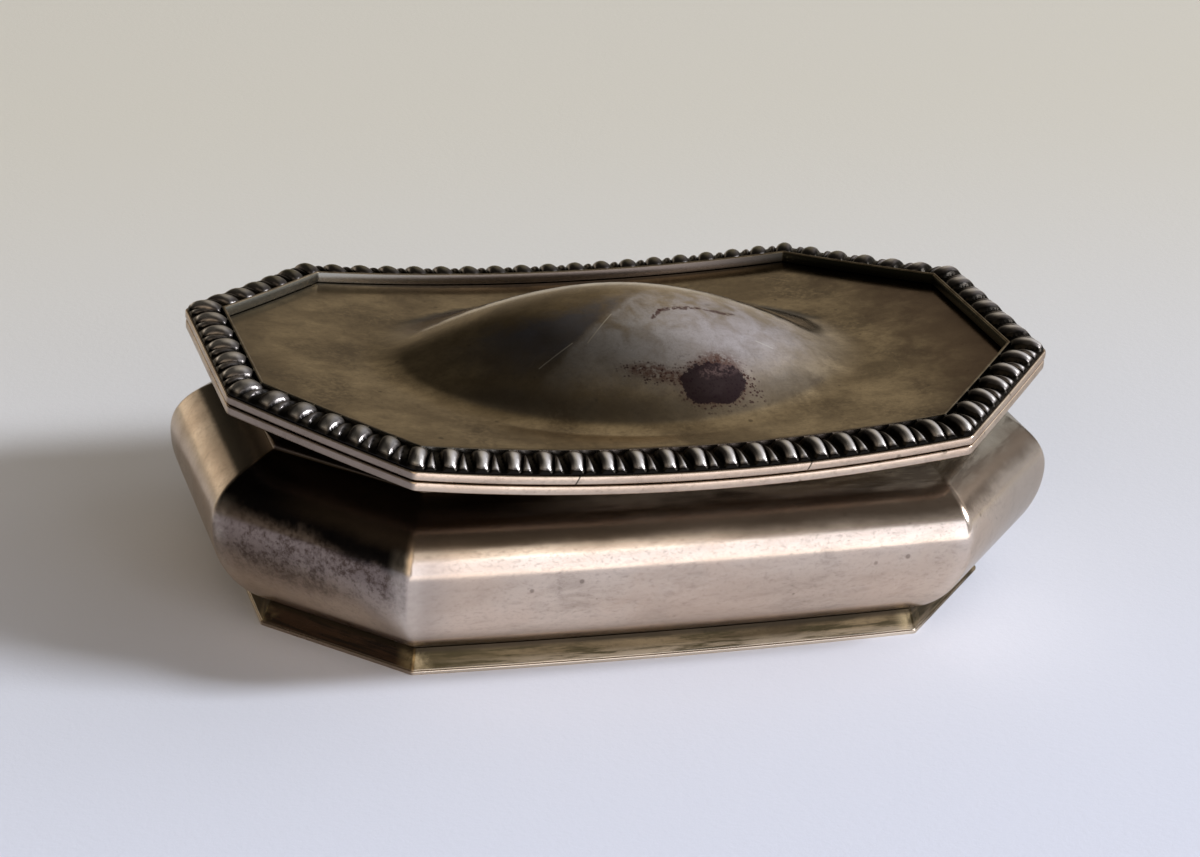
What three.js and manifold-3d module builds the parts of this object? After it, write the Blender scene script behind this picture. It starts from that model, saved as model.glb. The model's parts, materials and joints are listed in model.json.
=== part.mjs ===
// A silver-plated table box for cigarettes: an oblong eight-sided bombe body on a flared foot,
// a boat-shaped mouth, and a domed lid with a gadrooned border, hinged along the back.
// Millimetres, +Z up. The origin is the middle of the plane that the foot stands on,
// +X runs along the box and +Y points to the hinge side.
import * as THREE from 'three';
import { mergeVertices } from 'three/addons/utils/BufferGeometryUtils.js';
import Module from 'manifold-3d';

const wasm = await Module();
wasm.setup();

// Plan: an oblong octagon, taken at the inner edge of the lid's border.
const PLAN_LENGTH = 140;
const PLAN_WIDTH = 83.4;
const CORNER_CUT_X = 22.4;
const CORNER_CUT_Y = 23.7;
// How far the long sides swell out at mid-length, and how far the mouth rises at the plan's ends.
const SIDE_BOW = 1.1;
const END_LIFT = 5.6;

// Heights, stacked from the table up at mid-length.
const FOOT_HEIGHT = 4.4;
const BODY_HEIGHT = 31.15;
const RIM_HEIGHT = 1.7;
const PARTING_GAP = 0.3;
const LID_BAND_HEIGHT = 1.6;
const BORDER_HEIGHT = 2;
// Gap that stands for the solder between two pieces.
const SEAM = 0.15;

// Sheet metal.
const WALL = 1.1;
const LID_SHEET = 1;
const BASE_SHEET = 1;

// Body profile: outward offsets from the plan, and heights above the body's lower edge.
const FOOT_TOP_OFFSET = -2.3;
const BELLY_OFFSET = 9.4;
const BELLY_HEIGHT = 17.95;
const NECK_OFFSET = -2.2;
const NECK_DROP = 1.7;
const LIP_OFFSET = 3;
// Handles of the profile's curves: how far each curve runs on along its end tangent.
const FOOT_SPREAD_OUT = 5.9;
const FOOT_SPREAD_UP = 2.85;
const BELLY_ROUND_BELOW = 8.5;
const BELLY_ROUND_ABOVE = 5.3;
const SHOULDER_OUT = 6.8;
const SHOULDER_DOWN = 2.8;
const COVE_IN = 1;
const COVE_UP = 0.4;
const FLANGE_WIDTH = 2.5;

// Foot: a flared ring with a small lip, and a ledge inside that carries the base.
const FOOT_BOTTOM_OFFSET = -0.8;
const FOOT_LIP_HEIGHT = 0.7;
const FOOT_LIP_OUT = 0.3;
const FOOT_LEDGE = 6;

// Mouth rim and lid band: the two flat strips that meet at the parting line.
const RIM_OFFSET = 6.9;
const LID_BAND_OFFSET = 7;
const LID_BAND_WIDTH = 3.5;
const MOUTH_WALL = 1.3;

// Locating bezel under the lid.
const BEZEL_CLEARANCE = 0.5;
const BEZEL_THICKNESS = 0.8;
const BEZEL_DEPTH = 2.4;

// Dome in the middle of the lid.
const DOME_LENGTH = 85;
const DOME_WIDTH = 60;
const DOME_HEIGHT = 14.3;
const DOME_FULLNESS = 0.85;
const DOME_TOP_EASE = 0.02;
const DOME_TOE = 3;

// Gadrooned border: lobes across the strip, counted between corners.
const BORDER_WIDTH = 6.6;
const BORDER_LEDGE = 0.6;
const BORDER_EDGE = 0.35;
const LOBE_CREST = 0.45;
const LOBE_DEPTH = 0.9;
const LONG_LOBES = 18;
const CORNER_LOBES = 6;
const END_LOBES = 6;

// Hinge at the back: knuckles on one pin, alternately on the body and on the lid.
const KNUCKLES = ['body_left', 'lid_left', 'body_middle', 'lid_right', 'body_right'];
const KNUCKLE_LENGTH = 8;
const KNUCKLE_RADIUS = 1.6;
const KNUCKLE_GAP = 0.3;
const HINGE_STANDOFF = 0.2;
const PIN_RADIUS = 0.7;
const PIN_CLEARANCE = 0.3;
const PIN_HEAD_RADIUS = 1.2;
const PIN_HEAD_LENGTH = 0.5;
const NOTCH_CLEARANCE = 0.3;
const ROUND_SIDES = 20;

// Cedar lining: a floor, a board on each of the eight sides, and a divider.
const CEDAR_FLOOR = 1.8;
const CEDAR_BOARD = 2;
const CEDAR_FIT = 0.2;
const CEDAR_DROP = 0.6;
const DIVIDER_THICKNESS = 3;
const DIVIDER_DROP = 6;

// Stations along each kind of side.
const LONG_STEPS = 8;
const CORNER_STEPS = 2;
const END_STEPS = 1;
const LOBE_STEPS = 4;
const CURVE_STEPS = 5;
const PLATE_RINGS = 9;
const PLATE_STEPS_PER_SIDE = 2;

const halfLength = PLAN_LENGTH / 2;
const halfWidth = PLAN_WIDTH / 2;
const cornerLength = Math.hypot(CORNER_CUT_X, CORNER_CUT_Y);
const cornerNormalX = CORNER_CUT_Y / cornerLength;
const cornerNormalY = CORNER_CUT_X / cornerLength;

const footTop = FOOT_HEIGHT;
const bodyBottom = footTop + SEAM;
const flangeTop = bodyBottom + WALL;
const bellyZ = bodyBottom + BELLY_HEIGHT;
const bodyTop = bodyBottom + BODY_HEIGHT;
const neckZ = bodyTop - NECK_DROP;
const rimBottom = bodyTop + SEAM;
const rimTop = rimBottom + RIM_HEIGHT;
const lidBottom = rimTop + PARTING_GAP;
const lidBandTop = lidBottom + LID_BAND_HEIGHT;
const borderBottom = lidBandTop + SEAM;
const borderTop = borderBottom + BORDER_HEIGHT;
const mouthOffset = NECK_OFFSET - MOUTH_WALL;
const bezelBottom = rimTop - BEZEL_DEPTH;

// Share of the mouth's rise at a height: none up to the neck, then growing to full at the body's lip.
function liftShare(z) {
  return THREE.MathUtils.clamp((z - neckZ) / NECK_DROP, 0, 1);
}

function liftAt(x, share) {
  return END_LIFT * share * (x / halfLength) ** 2;
}

// Corner between a long side and a cut corner, and between a cut corner and an end, at an offset.
function longCorner(offset) {
  const x = halfLength - CORNER_CUT_X + offset * (1 - cornerNormalY) / cornerNormalX;
  return new THREE.Vector2(x, halfWidth + offset);
}

function endCorner(offset) {
  const y = halfWidth - CORNER_CUT_Y + offset * (1 - cornerNormalX) / cornerNormalY;
  return new THREE.Vector2(halfLength + offset, y);
}

// The three kinds of side: how each is divided, how many lobes its border has, and how far it bows.
const longSide = { steps: LONG_STEPS, lobes: LONG_LOBES, bow: SIDE_BOW };
const cutCorner = { steps: CORNER_STEPS, lobes: CORNER_LOBES, bow: 0 };
const endSide = { steps: END_STEPS, lobes: END_LOBES, bow: 0 };

// The eight sides, in order around the plan, each with the corner that it starts from.
const SIDES = [
  { name: 'front', corner: longCorner, signX: -1, signY: -1, ...longSide },
  { name: 'front_right', corner: longCorner, signX: 1, signY: -1, ...cutCorner },
  { name: 'right', corner: endCorner, signX: 1, signY: -1, ...endSide },
  { name: 'back_right', corner: endCorner, signX: 1, signY: 1, ...cutCorner },
  { name: 'back', corner: longCorner, signX: 1, signY: 1, ...longSide },
  { name: 'back_left', corner: longCorner, signX: -1, signY: 1, ...cutCorner },
  { name: 'left', corner: endCorner, signX: -1, signY: 1, ...endSide },
  { name: 'front_left', corner: endCorner, signX: -1, signY: -1, ...cutCorner },
];

function cornerOf(index, offset) {
  const side = SIDES[index % SIDES.length];
  const corner = side.corner(offset);
  return new THREE.Vector2(side.signX * corner.x, side.signY * corner.y);
}

// Plan point on side `index`, a share t of the way along it, at an offset from the plan.
function planPoint(index, t, offset) {
  const point = cornerOf(index, offset).lerp(cornerOf(index + 1, offset), t);
  point.y += SIDES[index].signY * SIDES[index].bow * 4 * t * (1 - t);
  return point;
}

function spacePoint(index, t, [offset, z, share = liftShare(z)]) {
  const plan = planPoint(index, t, offset);
  return new THREE.Vector3(plan.x, plan.y, z + liftAt(plan.x, share));
}

// Solid through loops of equal length; each loop runs counter-clockwise in (offset, height).
function loft(loops, outline) {
  const count = loops[0].length;
  const positions = loops.flat().flatMap((p) => p.toArray());
  const index = [];
  const spans = outline ? loops.length - 1 : loops.length;
  for (let i = 0; i < spans; i += 1) {
    const here = i * count;
    const next = ((i + 1) % loops.length) * count;
    for (let j = 0; j < count; j += 1) {
      const k = (j + 1) % count;
      index.push(here + j, next + j, next + k);
      index.push(here + j, next + k, here + k);
    }
  }
  if (outline) {
    const last = (loops.length - 1) * count;
    for (const [a, b, c] of THREE.ShapeUtils.triangulateShape(outline, [])) {
      index.push(a, b, c);
      index.push(last + a, last + c, last + b);
    }
  }
  const geometry = new THREE.BufferGeometry();
  geometry.setAttribute('position', new THREE.Float32BufferAttribute(positions, 3));
  geometry.setIndex(index);
  return geometry;
}

// Closed ring of one section carried right round the plan, mitred at the corners.
function ringOf(section) {
  const loops = [];
  SIDES.forEach((side, index) => {
    for (let step = 0; step < side.steps; step += 1) {
      loops.push(section.map((point) => spacePoint(index, step / side.steps, point)));
    }
  });
  return loft(loops, null);
}

// Straight piece of a section along one side, its mitred ends drawn back by half a seam.
function stripOf(index, sectionAt, steps) {
  const length = cornerOf(index, 0).distanceTo(cornerOf(index + 1, 0));
  const inset = SEAM / 2 / length;
  const loops = [];
  for (let step = 0; step <= steps; step += 1) {
    const share = step / steps;
    const t = THREE.MathUtils.lerp(inset, 1 - inset, share);
    loops.push(sectionAt(share).map((point) => spacePoint(index, t, point)));
  }
  const outline = sectionAt(0).map(([offset, z]) => new THREE.Vector2(offset, z));
  return loft(loops, outline);
}

// Upright rectangular section; its lower corners rise with the mouth by the share given.
function rectangle(inner, outer, bottom, top, bottomShare) {
  return [[inner, bottom, bottomShare], [outer, bottom, bottomShare], [outer, top, 1], [inner, top, 1]];
}

// Flat-sided plate whose rim follows the plan at an offset: from rings drawn in to the middle,
// between a lower and an upper surface given as heights at (x, y).
function plateOf(offset, lowerAt, upperAt, rings, finer) {
  const rim = [];
  SIDES.forEach((side, index) => {
    const steps = side.steps * finer;
    for (let step = 0; step < steps; step += 1) {
      rim.push(planPoint(index, step / steps, offset));
    }
  });
  const positions = [];
  const index = [];
  const sheet = 1 + rings * rim.length;
  for (const heightAt of [lowerAt, upperAt]) {
    positions.push(0, 0, heightAt(0, 0));
    for (let ring = 1; ring <= rings; ring += 1) {
      for (const point of rim) {
        const x = point.x * ring / rings;
        const y = point.y * ring / rings;
        positions.push(x, y, heightAt(x, y));
      }
    }
  }
  for (let i = 0; i < rim.length; i += 1) {
    const j = (i + 1) % rim.length;
    index.push(0, 1 + j, 1 + i);
    index.push(sheet, sheet + 1 + i, sheet + 1 + j);
    for (let ring = 0; ring < rings - 1; ring += 1) {
      const inner = 1 + ring * rim.length;
      const outer = inner + rim.length;
      index.push(inner + i, inner + j, outer + j, inner + i, outer + j, outer + i);
      const innerTop = sheet + inner;
      const outerTop = sheet + outer;
      index.push(innerTop + i, outerTop + i, outerTop + j, innerTop + i, outerTop + j, innerTop + j);
    }
    const edge = 1 + (rings - 1) * rim.length;
    index.push(edge + i, edge + j, sheet + edge + j, edge + i, sheet + edge + j, sheet + edge + i);
  }
  const geometry = new THREE.BufferGeometry();
  geometry.setAttribute('position', new THREE.Float32BufferAttribute(positions, 3));
  geometry.setIndex(index);
  return geometry;
}

function solidOf(geometry) {
  const bare = geometry.clone();
  bare.deleteAttribute('normal');
  bare.deleteAttribute('uv');
  const merged = mergeVertices(bare);
  const mesh = new wasm.Mesh({
    numProp: 3,
    vertProperties: new Float32Array(merged.attributes.position.array),
    triVerts: new Uint32Array(merged.index.array),
  });
  return new wasm.Manifold(mesh);
}

function cut(geometry, tool) {
  const result = solidOf(geometry).subtract(solidOf(tool)).getMesh();
  const cutGeometry = new THREE.BufferGeometry();
  cutGeometry.setAttribute('position', new THREE.BufferAttribute(result.vertProperties, 3));
  cutGeometry.setIndex(new THREE.BufferAttribute(result.triVerts, 1));
  return cutGeometry;
}

const silver = { roughness: 0.34, metalness: 1 };
const finishes = {
  shell: { color: 0x9a9087, ...silver },
  lid: { color: 0x6e6350, ...silver },
  border: { color: 0x55504c, ...silver },
  edge: { color: 0xd9cdc2, ...silver },
  foot: { color: 0x6b604c, ...silver },
  inside: { color: 0x8d8272, ...silver },
  hinge: { color: 0x8a7a58, ...silver },
  cedar: { color: 0x9c6238, roughness: 0.7, metalness: 0 },
};

const cigaretteBox = new THREE.Group();

function place(name, finish, geometry) {
  const shaded = geometry.index ? geometry.toNonIndexed() : geometry;
  shaded.computeVertexNormals();
  const mesh = new THREE.Mesh(shaded, new THREE.MeshStandardMaterial(finishes[finish]));
  mesh.name = name;
  cigaretteBox.add(mesh);
  return mesh;
}

// Foot: outside flare down to the lip, flat sole, upright inner wall.
const footInner = FOOT_TOP_OFFSET - FOOT_LEDGE;
const lipOffset = FOOT_BOTTOM_OFFSET + FOOT_LIP_OUT;
const footSection = [
  [footInner, 0],
  [lipOffset, 0],
  [lipOffset, FOOT_LIP_HEIGHT],
  [FOOT_BOTTOM_OFFSET, FOOT_LIP_HEIGHT],
  [FOOT_TOP_OFFSET, footTop],
  [footInner, footTop],
];
place('foot_ring', 'foot', ringOf(footSection));

// Body shell: foot to belly, belly over the shoulder to the neck, and a cove out to the lip.
const lowerCurve = new THREE.CubicBezierCurve(
  new THREE.Vector2(FOOT_TOP_OFFSET, bodyBottom),
  new THREE.Vector2(FOOT_TOP_OFFSET + FOOT_SPREAD_OUT, bodyBottom + FOOT_SPREAD_UP),
  new THREE.Vector2(BELLY_OFFSET, bellyZ - BELLY_ROUND_BELOW),
  new THREE.Vector2(BELLY_OFFSET, bellyZ),
);
const shoulderCurve = new THREE.CubicBezierCurve(
  new THREE.Vector2(BELLY_OFFSET, bellyZ),
  new THREE.Vector2(BELLY_OFFSET, bellyZ + BELLY_ROUND_ABOVE),
  new THREE.Vector2(NECK_OFFSET + SHOULDER_OUT, neckZ - SHOULDER_DOWN),
  new THREE.Vector2(NECK_OFFSET, neckZ),
);
const coveCurve = new THREE.QuadraticBezierCurve(
  new THREE.Vector2(NECK_OFFSET, neckZ),
  new THREE.Vector2(NECK_OFFSET - COVE_IN, neckZ + COVE_UP),
  new THREE.Vector2(LIP_OFFSET, bodyTop),
);

function insideOf(curve, share) {
  const point = curve.getPoint(share);
  const tangent = curve.getTangent(share);
  return [point.x - WALL * tangent.y, point.y + WALL * tangent.x];
}

const shellSection = [];
for (const curve of [lowerCurve, shoulderCurve, coveCurve]) {
  for (const point of curve.getPoints(CURVE_STEPS).slice(0, -1)) {
    shellSection.push([point.x, point.y]);
  }
}
shellSection.push([LIP_OFFSET, bodyTop]);
shellSection.push([mouthOffset, bodyTop]);
shellSection.push([mouthOffset, neckZ]);
shellSection.push(insideOf(shoulderCurve, 1));
for (const curve of [shoulderCurve, lowerCurve]) {
  for (let step = CURVE_STEPS - 1; step >= 0; step -= 1) {
    shellSection.push(insideOf(curve, step / CURVE_STEPS));
  }
}
const flangeInner = FOOT_TOP_OFFSET - FLANGE_WIDTH;
shellSection.push([flangeInner, flangeTop]);
shellSection.push([flangeInner, bodyBottom]);
place('body_shell', 'shell', ringOf(shellSection));

// Base: a flat sheet on the foot's ledge, inside the shell's flange.
const baseTop = bodyBottom + BASE_SHEET;
const baseGeometry = plateOf(flangeInner - SEAM, () => bodyBottom, () => baseTop, 1, 1);
place('base_plate', 'inside', baseGeometry);

// Hinge axis, along X at the parting line behind the middle of the back.
const hingeY = halfWidth + LID_BAND_OFFSET + SIDE_BOW + HINGE_STANDOFF;
const hingeZ = rimTop + PARTING_GAP / 2;
const hingeLength = KNUCKLES.length * (KNUCKLE_LENGTH + KNUCKLE_GAP) - KNUCKLE_GAP;

function alongHinge(geometry, x) {
  geometry.rotateZ(-Math.PI / 2);
  geometry.translate(x, hingeY, hingeZ);
  return geometry;
}

function hingeNotch() {
  const radius = KNUCKLE_RADIUS + NOTCH_CLEARANCE;
  const length = hingeLength + 2 * (PIN_HEAD_LENGTH + NOTCH_CLEARANCE);
  return alongHinge(new THREE.CylinderGeometry(radius, radius, length, ROUND_SIDES), 0);
}

// Mouth rim on the body and edge band on the lid, both notched for the hinge.
const rimGeometry = ringOf(rectangle(mouthOffset, RIM_OFFSET, rimBottom, rimTop, 1));
place('mouth_rim', 'edge', cut(rimGeometry, hingeNotch()));
const bandInner = LID_BAND_OFFSET - LID_BAND_WIDTH;
const bandGeometry = ringOf(rectangle(bandInner, LID_BAND_OFFSET, lidBottom, lidBandTop, 1));
place('lid_edge_band', 'edge', cut(bandGeometry, hingeNotch()));

// Lid plate: a sheet that follows the mouth's curve, raised to a smooth oval dome in the middle.
// The dome is a rounded cap that runs out into the plate through a wide hollow toe.
function domeAt(x, y) {
  const reach = (2 * x / DOME_LENGTH) ** 2 + (2 * y / DOME_WIDTH) ** 2;
  const fall = (reach + DOME_TOP_EASE) ** DOME_FULLNESS - DOME_TOP_EASE ** DOME_FULLNESS;
  const cap = DOME_HEIGHT * (1 - fall);
  if (cap > DOME_TOE) {
    return cap;
  }
  return Math.max(0, cap + DOME_TOE) ** 2 / (4 * DOME_TOE);
}

function plateTopAt(x, y) {
  return lidBandTop + liftAt(x, 1) + domeAt(x, y);
}

function plateUnderAt(x, y) {
  return plateTopAt(x, y) - LID_SHEET;
}

const plateOffset = bandInner - SEAM;
const plateGeometry = plateOf(plateOffset, plateUnderAt, plateTopAt, PLATE_RINGS, PLATE_STEPS_PER_SIDE);
place('lid_plate', 'lid', plateGeometry);

// Bezel: an upright band soldered under the plate, which drops just inside the mouth.
const bezelOuter = mouthOffset - BEZEL_CLEARANCE;
const bezelTop = lidBandTop - LID_SHEET - SEAM;
const bezelSection = rectangle(bezelOuter - BEZEL_THICKNESS, bezelOuter, bezelBottom, bezelTop, 1);
place('lid_bezel', 'inside', ringOf(bezelSection));

// Gadrooned border: one mitred length for each side, with a lobe on every corner.
const lobeMiddle = (BORDER_LEDGE + BORDER_WIDTH) / 2;
const lobeShoulder = (BORDER_WIDTH - BORDER_LEDGE) / 4;

function borderSection(phase) {
  const swell = Math.sqrt(Math.abs(Math.cos(Math.PI * phase)));
  const crest = borderTop + LOBE_CREST - LOBE_DEPTH * (1 - swell);
  const outer = (borderBottom + BORDER_EDGE + crest) / 2;
  return [
    [0, borderBottom],
    [BORDER_WIDTH, borderBottom],
    [BORDER_WIDTH, borderBottom + BORDER_EDGE],
    [lobeMiddle + lobeShoulder, outer],
    [lobeMiddle, crest],
    [BORDER_LEDGE, borderTop],
    [0, borderTop],
  ];
}

SIDES.forEach((side, index) => {
  const sectionAt = (share) => borderSection((share * side.lobes) % 1);
  place(`gadroon_${side.name}`, 'border', stripOf(index, sectionAt, side.lobes * LOBE_STEPS));
});

// Hinge knuckles and the riveted pin through them.
const boreRadius = PIN_RADIUS + PIN_CLEARANCE;
KNUCKLES.forEach((name, position) => {
  const half = KNUCKLE_LENGTH / 2;
  const profile = [
    new THREE.Vector2(boreRadius, -half),
    new THREE.Vector2(KNUCKLE_RADIUS, -half),
    new THREE.Vector2(KNUCKLE_RADIUS, half),
    new THREE.Vector2(boreRadius, half),
    new THREE.Vector2(boreRadius, -half),
  ];
  const x = (position - (KNUCKLES.length - 1) / 2) * (KNUCKLE_LENGTH + KNUCKLE_GAP);
  place(`hinge_knuckle_${name}`, 'hinge', alongHinge(new THREE.LatheGeometry(profile, ROUND_SIDES), x));
});

const headStart = hingeLength / 2 + SEAM;
const headEnd = headStart + PIN_HEAD_LENGTH;
const pinProfile = [
  new THREE.Vector2(0, -headEnd),
  new THREE.Vector2(PIN_HEAD_RADIUS, -headEnd),
  new THREE.Vector2(PIN_HEAD_RADIUS, -headStart),
  new THREE.Vector2(PIN_RADIUS, -headStart),
  new THREE.Vector2(PIN_RADIUS, headStart),
  new THREE.Vector2(PIN_HEAD_RADIUS, headStart),
  new THREE.Vector2(PIN_HEAD_RADIUS, headEnd),
  new THREE.Vector2(0, headEnd),
];
place('hinge_pin', 'hinge', alongHinge(new THREE.LatheGeometry(pinProfile, ROUND_SIDES), 0));

// Cedar lining: the floor lies on the flange, and the boards stand on it up to just below the bezel.
const cedarOuter = mouthOffset - CEDAR_FIT;
const cedarInner = cedarOuter - CEDAR_BOARD;
const floorBottom = Math.max(baseTop, flangeTop) + SEAM;
const floorTop = floorBottom + CEDAR_FLOOR;
const boardBottom = floorTop + SEAM;
const boardTop = bezelBottom - CEDAR_DROP;
place('liner_floor', 'cedar', plateOf(cedarOuter, () => floorBottom, () => floorTop, 1, 1));
SIDES.forEach((side, index) => {
  const section = rectangle(cedarInner, cedarOuter, boardBottom, boardTop, 0);
  place(`liner_${side.name}`, 'cedar', stripOf(index, () => section, side.steps));
});

const dividerHalf = halfWidth + SIDE_BOW + cedarInner - CEDAR_FIT;
const dividerHeight = boardTop - DIVIDER_DROP - boardBottom;
const divider = new THREE.BoxGeometry(DIVIDER_THICKNESS, 2 * dividerHalf, dividerHeight);
const dividerMesh = place('liner_divider', 'cedar', divider);
dividerMesh.position.set(0, 0, boardBottom + dividerHeight / 2);

export default cigaretteBox;
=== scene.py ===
# %% [markdown]
# # A silver-plated table box for cigarettes
# The box is an oblong octagon in plan, with a swelling body on a flared foot and a hinged, domed lid.
# Its construction is fixed already as a frame of plain solids. This lesson dresses that frame: each
# visible solid gets a finer mesh in the same place, and each surface gets a finish made from nodes.

# %% Load the frame
import json
import math

import bpy
import numpy as np
from mathutils import Matrix, Vector


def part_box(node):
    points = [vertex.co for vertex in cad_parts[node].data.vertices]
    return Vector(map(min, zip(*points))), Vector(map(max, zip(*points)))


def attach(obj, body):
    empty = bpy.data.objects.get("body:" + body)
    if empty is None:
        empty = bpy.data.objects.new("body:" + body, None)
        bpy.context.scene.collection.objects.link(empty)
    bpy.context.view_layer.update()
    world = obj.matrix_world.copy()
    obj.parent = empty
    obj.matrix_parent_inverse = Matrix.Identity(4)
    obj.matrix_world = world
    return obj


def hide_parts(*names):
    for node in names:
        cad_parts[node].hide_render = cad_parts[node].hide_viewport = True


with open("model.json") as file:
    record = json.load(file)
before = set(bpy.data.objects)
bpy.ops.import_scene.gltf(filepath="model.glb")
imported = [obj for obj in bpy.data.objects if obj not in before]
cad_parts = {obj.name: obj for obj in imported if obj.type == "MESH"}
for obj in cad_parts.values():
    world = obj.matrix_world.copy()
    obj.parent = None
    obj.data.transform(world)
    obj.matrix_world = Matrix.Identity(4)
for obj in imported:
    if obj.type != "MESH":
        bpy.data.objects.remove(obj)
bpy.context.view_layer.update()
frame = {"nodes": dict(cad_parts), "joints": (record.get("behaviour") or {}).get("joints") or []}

# %% [markdown]
# ## The plan
# Everything on this box follows one line: the octagon at the inner edge of the lid's border. A silversmith
# would cut a template of it. Each ring, strip and wall is that line moved out or in by an offset, so one
# function that gives a plan point for a side, a place along it and an offset is enough for all the pieces.
# Corners are round joins rather than sharp mitres, because sheet and wire can't be bent to a knife edge.

# %% Sizes of the plan, in millimetres
MM = 0.001
HALF_LENGTH = 70.0
HALF_WIDTH = 41.7
CUT_X = 22.4
CUT_Y = 23.7
SIDE_BOW = 1.1
END_LIFT = 5.6
SIDES = ("front", "front_right", "right", "back_right", "back", "back_left", "left", "front_left")
LONG_SIDES = ("front", "back")
CORNER_SIGNS = ((-1, -1), (1, -1), (1, -1), (1, 1), (1, 1), (-1, 1), (-1, 1), (-1, -1))
LONG_CORNERS = (0, 1, 4, 5)

cut_length = math.hypot(CUT_X, CUT_Y)
NORMAL_X = CUT_Y / cut_length
NORMAL_Y = CUT_X / cut_length
cut_angle = math.atan2(NORMAL_Y, NORMAL_X)
quarter = math.pi / 2
SIDE_ANGLES = (
    -quarter, -cut_angle, 0, cut_angle,
    quarter, 2 * quarter - cut_angle, 2 * quarter, 2 * quarter + cut_angle,
)


# %% Points of the plan
def corner(index, offset):
    """Mitred corner where side `index` starts, with the octagon moved out by `offset`."""
    index %= len(SIDES)
    sign_x, sign_y = CORNER_SIGNS[index]
    if index in LONG_CORNERS:
        x = HALF_LENGTH - CUT_X + offset * (1 - NORMAL_Y) / NORMAL_X
        y = HALF_WIDTH + offset
    else:
        x = HALF_LENGTH + offset
        y = HALF_WIDTH - CUT_Y + offset * (1 - NORMAL_X) / NORMAL_Y
    return np.stack([sign_x * x, sign_y * y], -1)


def side_angle(index):
    """Direction that side `index` faces; it keeps growing past a full turn."""
    turns, index = divmod(index, len(SIDES))
    return SIDE_ANGLES[index] + turns * 2 * math.pi


def plan_point(side, place, offset, radius):
    """Plan points of one side at many offsets. `place` runs 0 to 1 over the half of the round corner
    that starts it, 1 to 2 along the straight, and 2 to 3 over the half corner that ends it."""
    angle = side_angle(side)
    facing = np.array([math.cos(angle), math.sin(angle)])
    start = corner(side, offset - radius)
    end = corner(side + 1, offset - radius)
    if place < 1:
        turn = np.interp(place, (0, 1), ((angle + side_angle(side - 1)) / 2, angle))
        return start + radius[:, None] * np.array([math.cos(turn), math.sin(turn)])
    if place > 2:
        turn = np.interp(place, (2, 3), (angle, (angle + side_angle(side + 1)) / 2))
        return end + radius[:, None] * np.array([math.cos(turn), math.sin(turn)])
    share = place - 1
    bow = SIDE_BOW if SIDES[side] in LONG_SIDES else 0
    swell = bow * 4 * share * (1 - share)
    return start + (end - start) * share + (radius[:, None] + swell) * facing


def lift(x, share):
    """The mouth is boat-shaped: it rises towards the ends by a share of a parabola."""
    return END_LIFT * share * (x / HALF_LENGTH) ** 2


print("plan:", 2 * HALF_LENGTH, "by", 2 * HALF_WIDTH, "mm, facets at", round(math.degrees(cut_angle), 1))

# %% [markdown]
# ## Heights from the frame
# The levels of the pieces are read from the solids instead of being typed again. A strip that rises towards
# its ends is lowest at mid-length, so the bottom of its solid is the level that its section starts from.

# %% Levels, in millimetres
PARTING_GAP = 0.3
BORDER_HEIGHT = 2.0


def level(node, end):
    """Lowest (0) or highest (1) point of a solid."""
    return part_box(node)[end].z / MM


FOOT_TOP = level("foot_ring", 1)
BODY_BOTTOM = level("body_shell", 0)
RIM_BOTTOM = level("mouth_rim", 0)
LID_BOTTOM = level("lid_edge_band", 0)
BORDER_BOTTOM = level("gadroon_front", 0)
SEAM = BODY_BOTTOM - FOOT_TOP
BODY_TOP = RIM_BOTTOM - SEAM
RIM_TOP = LID_BOTTOM - PARTING_GAP
LID_TOP = BORDER_BOTTOM - SEAM
BORDER_TOP = BORDER_BOTTOM + BORDER_HEIGHT
hinge = frame["joints"][0]
HINGE_Y = hinge["pos_m"][1] / MM
HINGE_Z = hinge["pos_m"][2] / MM
print(f"levels: foot {FOOT_TOP:.2f}, body to {BODY_TOP:.2f}, rim to {RIM_TOP:.2f}, lid to {LID_TOP:.2f}")

# %% [markdown]
# ## Sections carried round the plan
# A ring such as the foot is a small section carried round the plan, and a strip is the same with two ends.
# Blender's curve bevel could do that, but it can't mitre this plan or follow the boat curve, so the points
# are worked out as a grid and joined with quads. A grid also knows where each point lies, and three masks
# keep that on the mesh as named attributes: `corner` is 1 on the round corners, for wear to find, `out` is
# the offset, and the third is filled in by the border with its relief and a painted shade on one flank of
# each lobe.


# %% Meshes from points
def make_piece(name, points, faces, masks):
    """New object from points in millimetres, with float masks stored on its vertices."""
    mesh = bpy.data.meshes.new(name)
    mesh.from_pydata((np.asarray(points) * MM).tolist(), [], faces)
    for mask, values in masks.items():
        attribute = mesh.attributes.new(mask, "FLOAT", "POINT")
        attribute.data.foreach_set("value", np.asarray(values, dtype=np.float32))
    piece = bpy.data.objects.new(name, mesh)
    bpy.context.collection.objects.link(piece)
    return piece


def smooth(piece, degrees):
    """Smooth shading that keeps edges sharper than the angle crisp."""
    piece.data.shade_smooth()
    piece.data.set_sharp_from_angle(angle=math.radians(degrees))
    return piece


def grid_faces(rows, columns, closed):
    """Quads of a grid whose columns close on themselves; its rows close too where `closed` is true."""
    row = np.arange(rows if closed else rows - 1)[:, None]
    column = np.arange(columns)[None, :]
    next_row = (row + 1) % rows
    next_column = (column + 1) % columns
    quads = [row * columns + column, next_row * columns + column,
             next_row * columns + next_column, row * columns + next_column]
    return np.stack(np.broadcast_arrays(*quads), -1).reshape(-1, 4).tolist()


def dress(piece, body, slot_name, *nodes):
    """Puts a piece on its body and lets it stand for its solids; the finish name it is given is not used."""
    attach(piece, body)
    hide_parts(*nodes)
    return piece


# %% Sweeps
CORNER_FADE = 7.0


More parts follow.
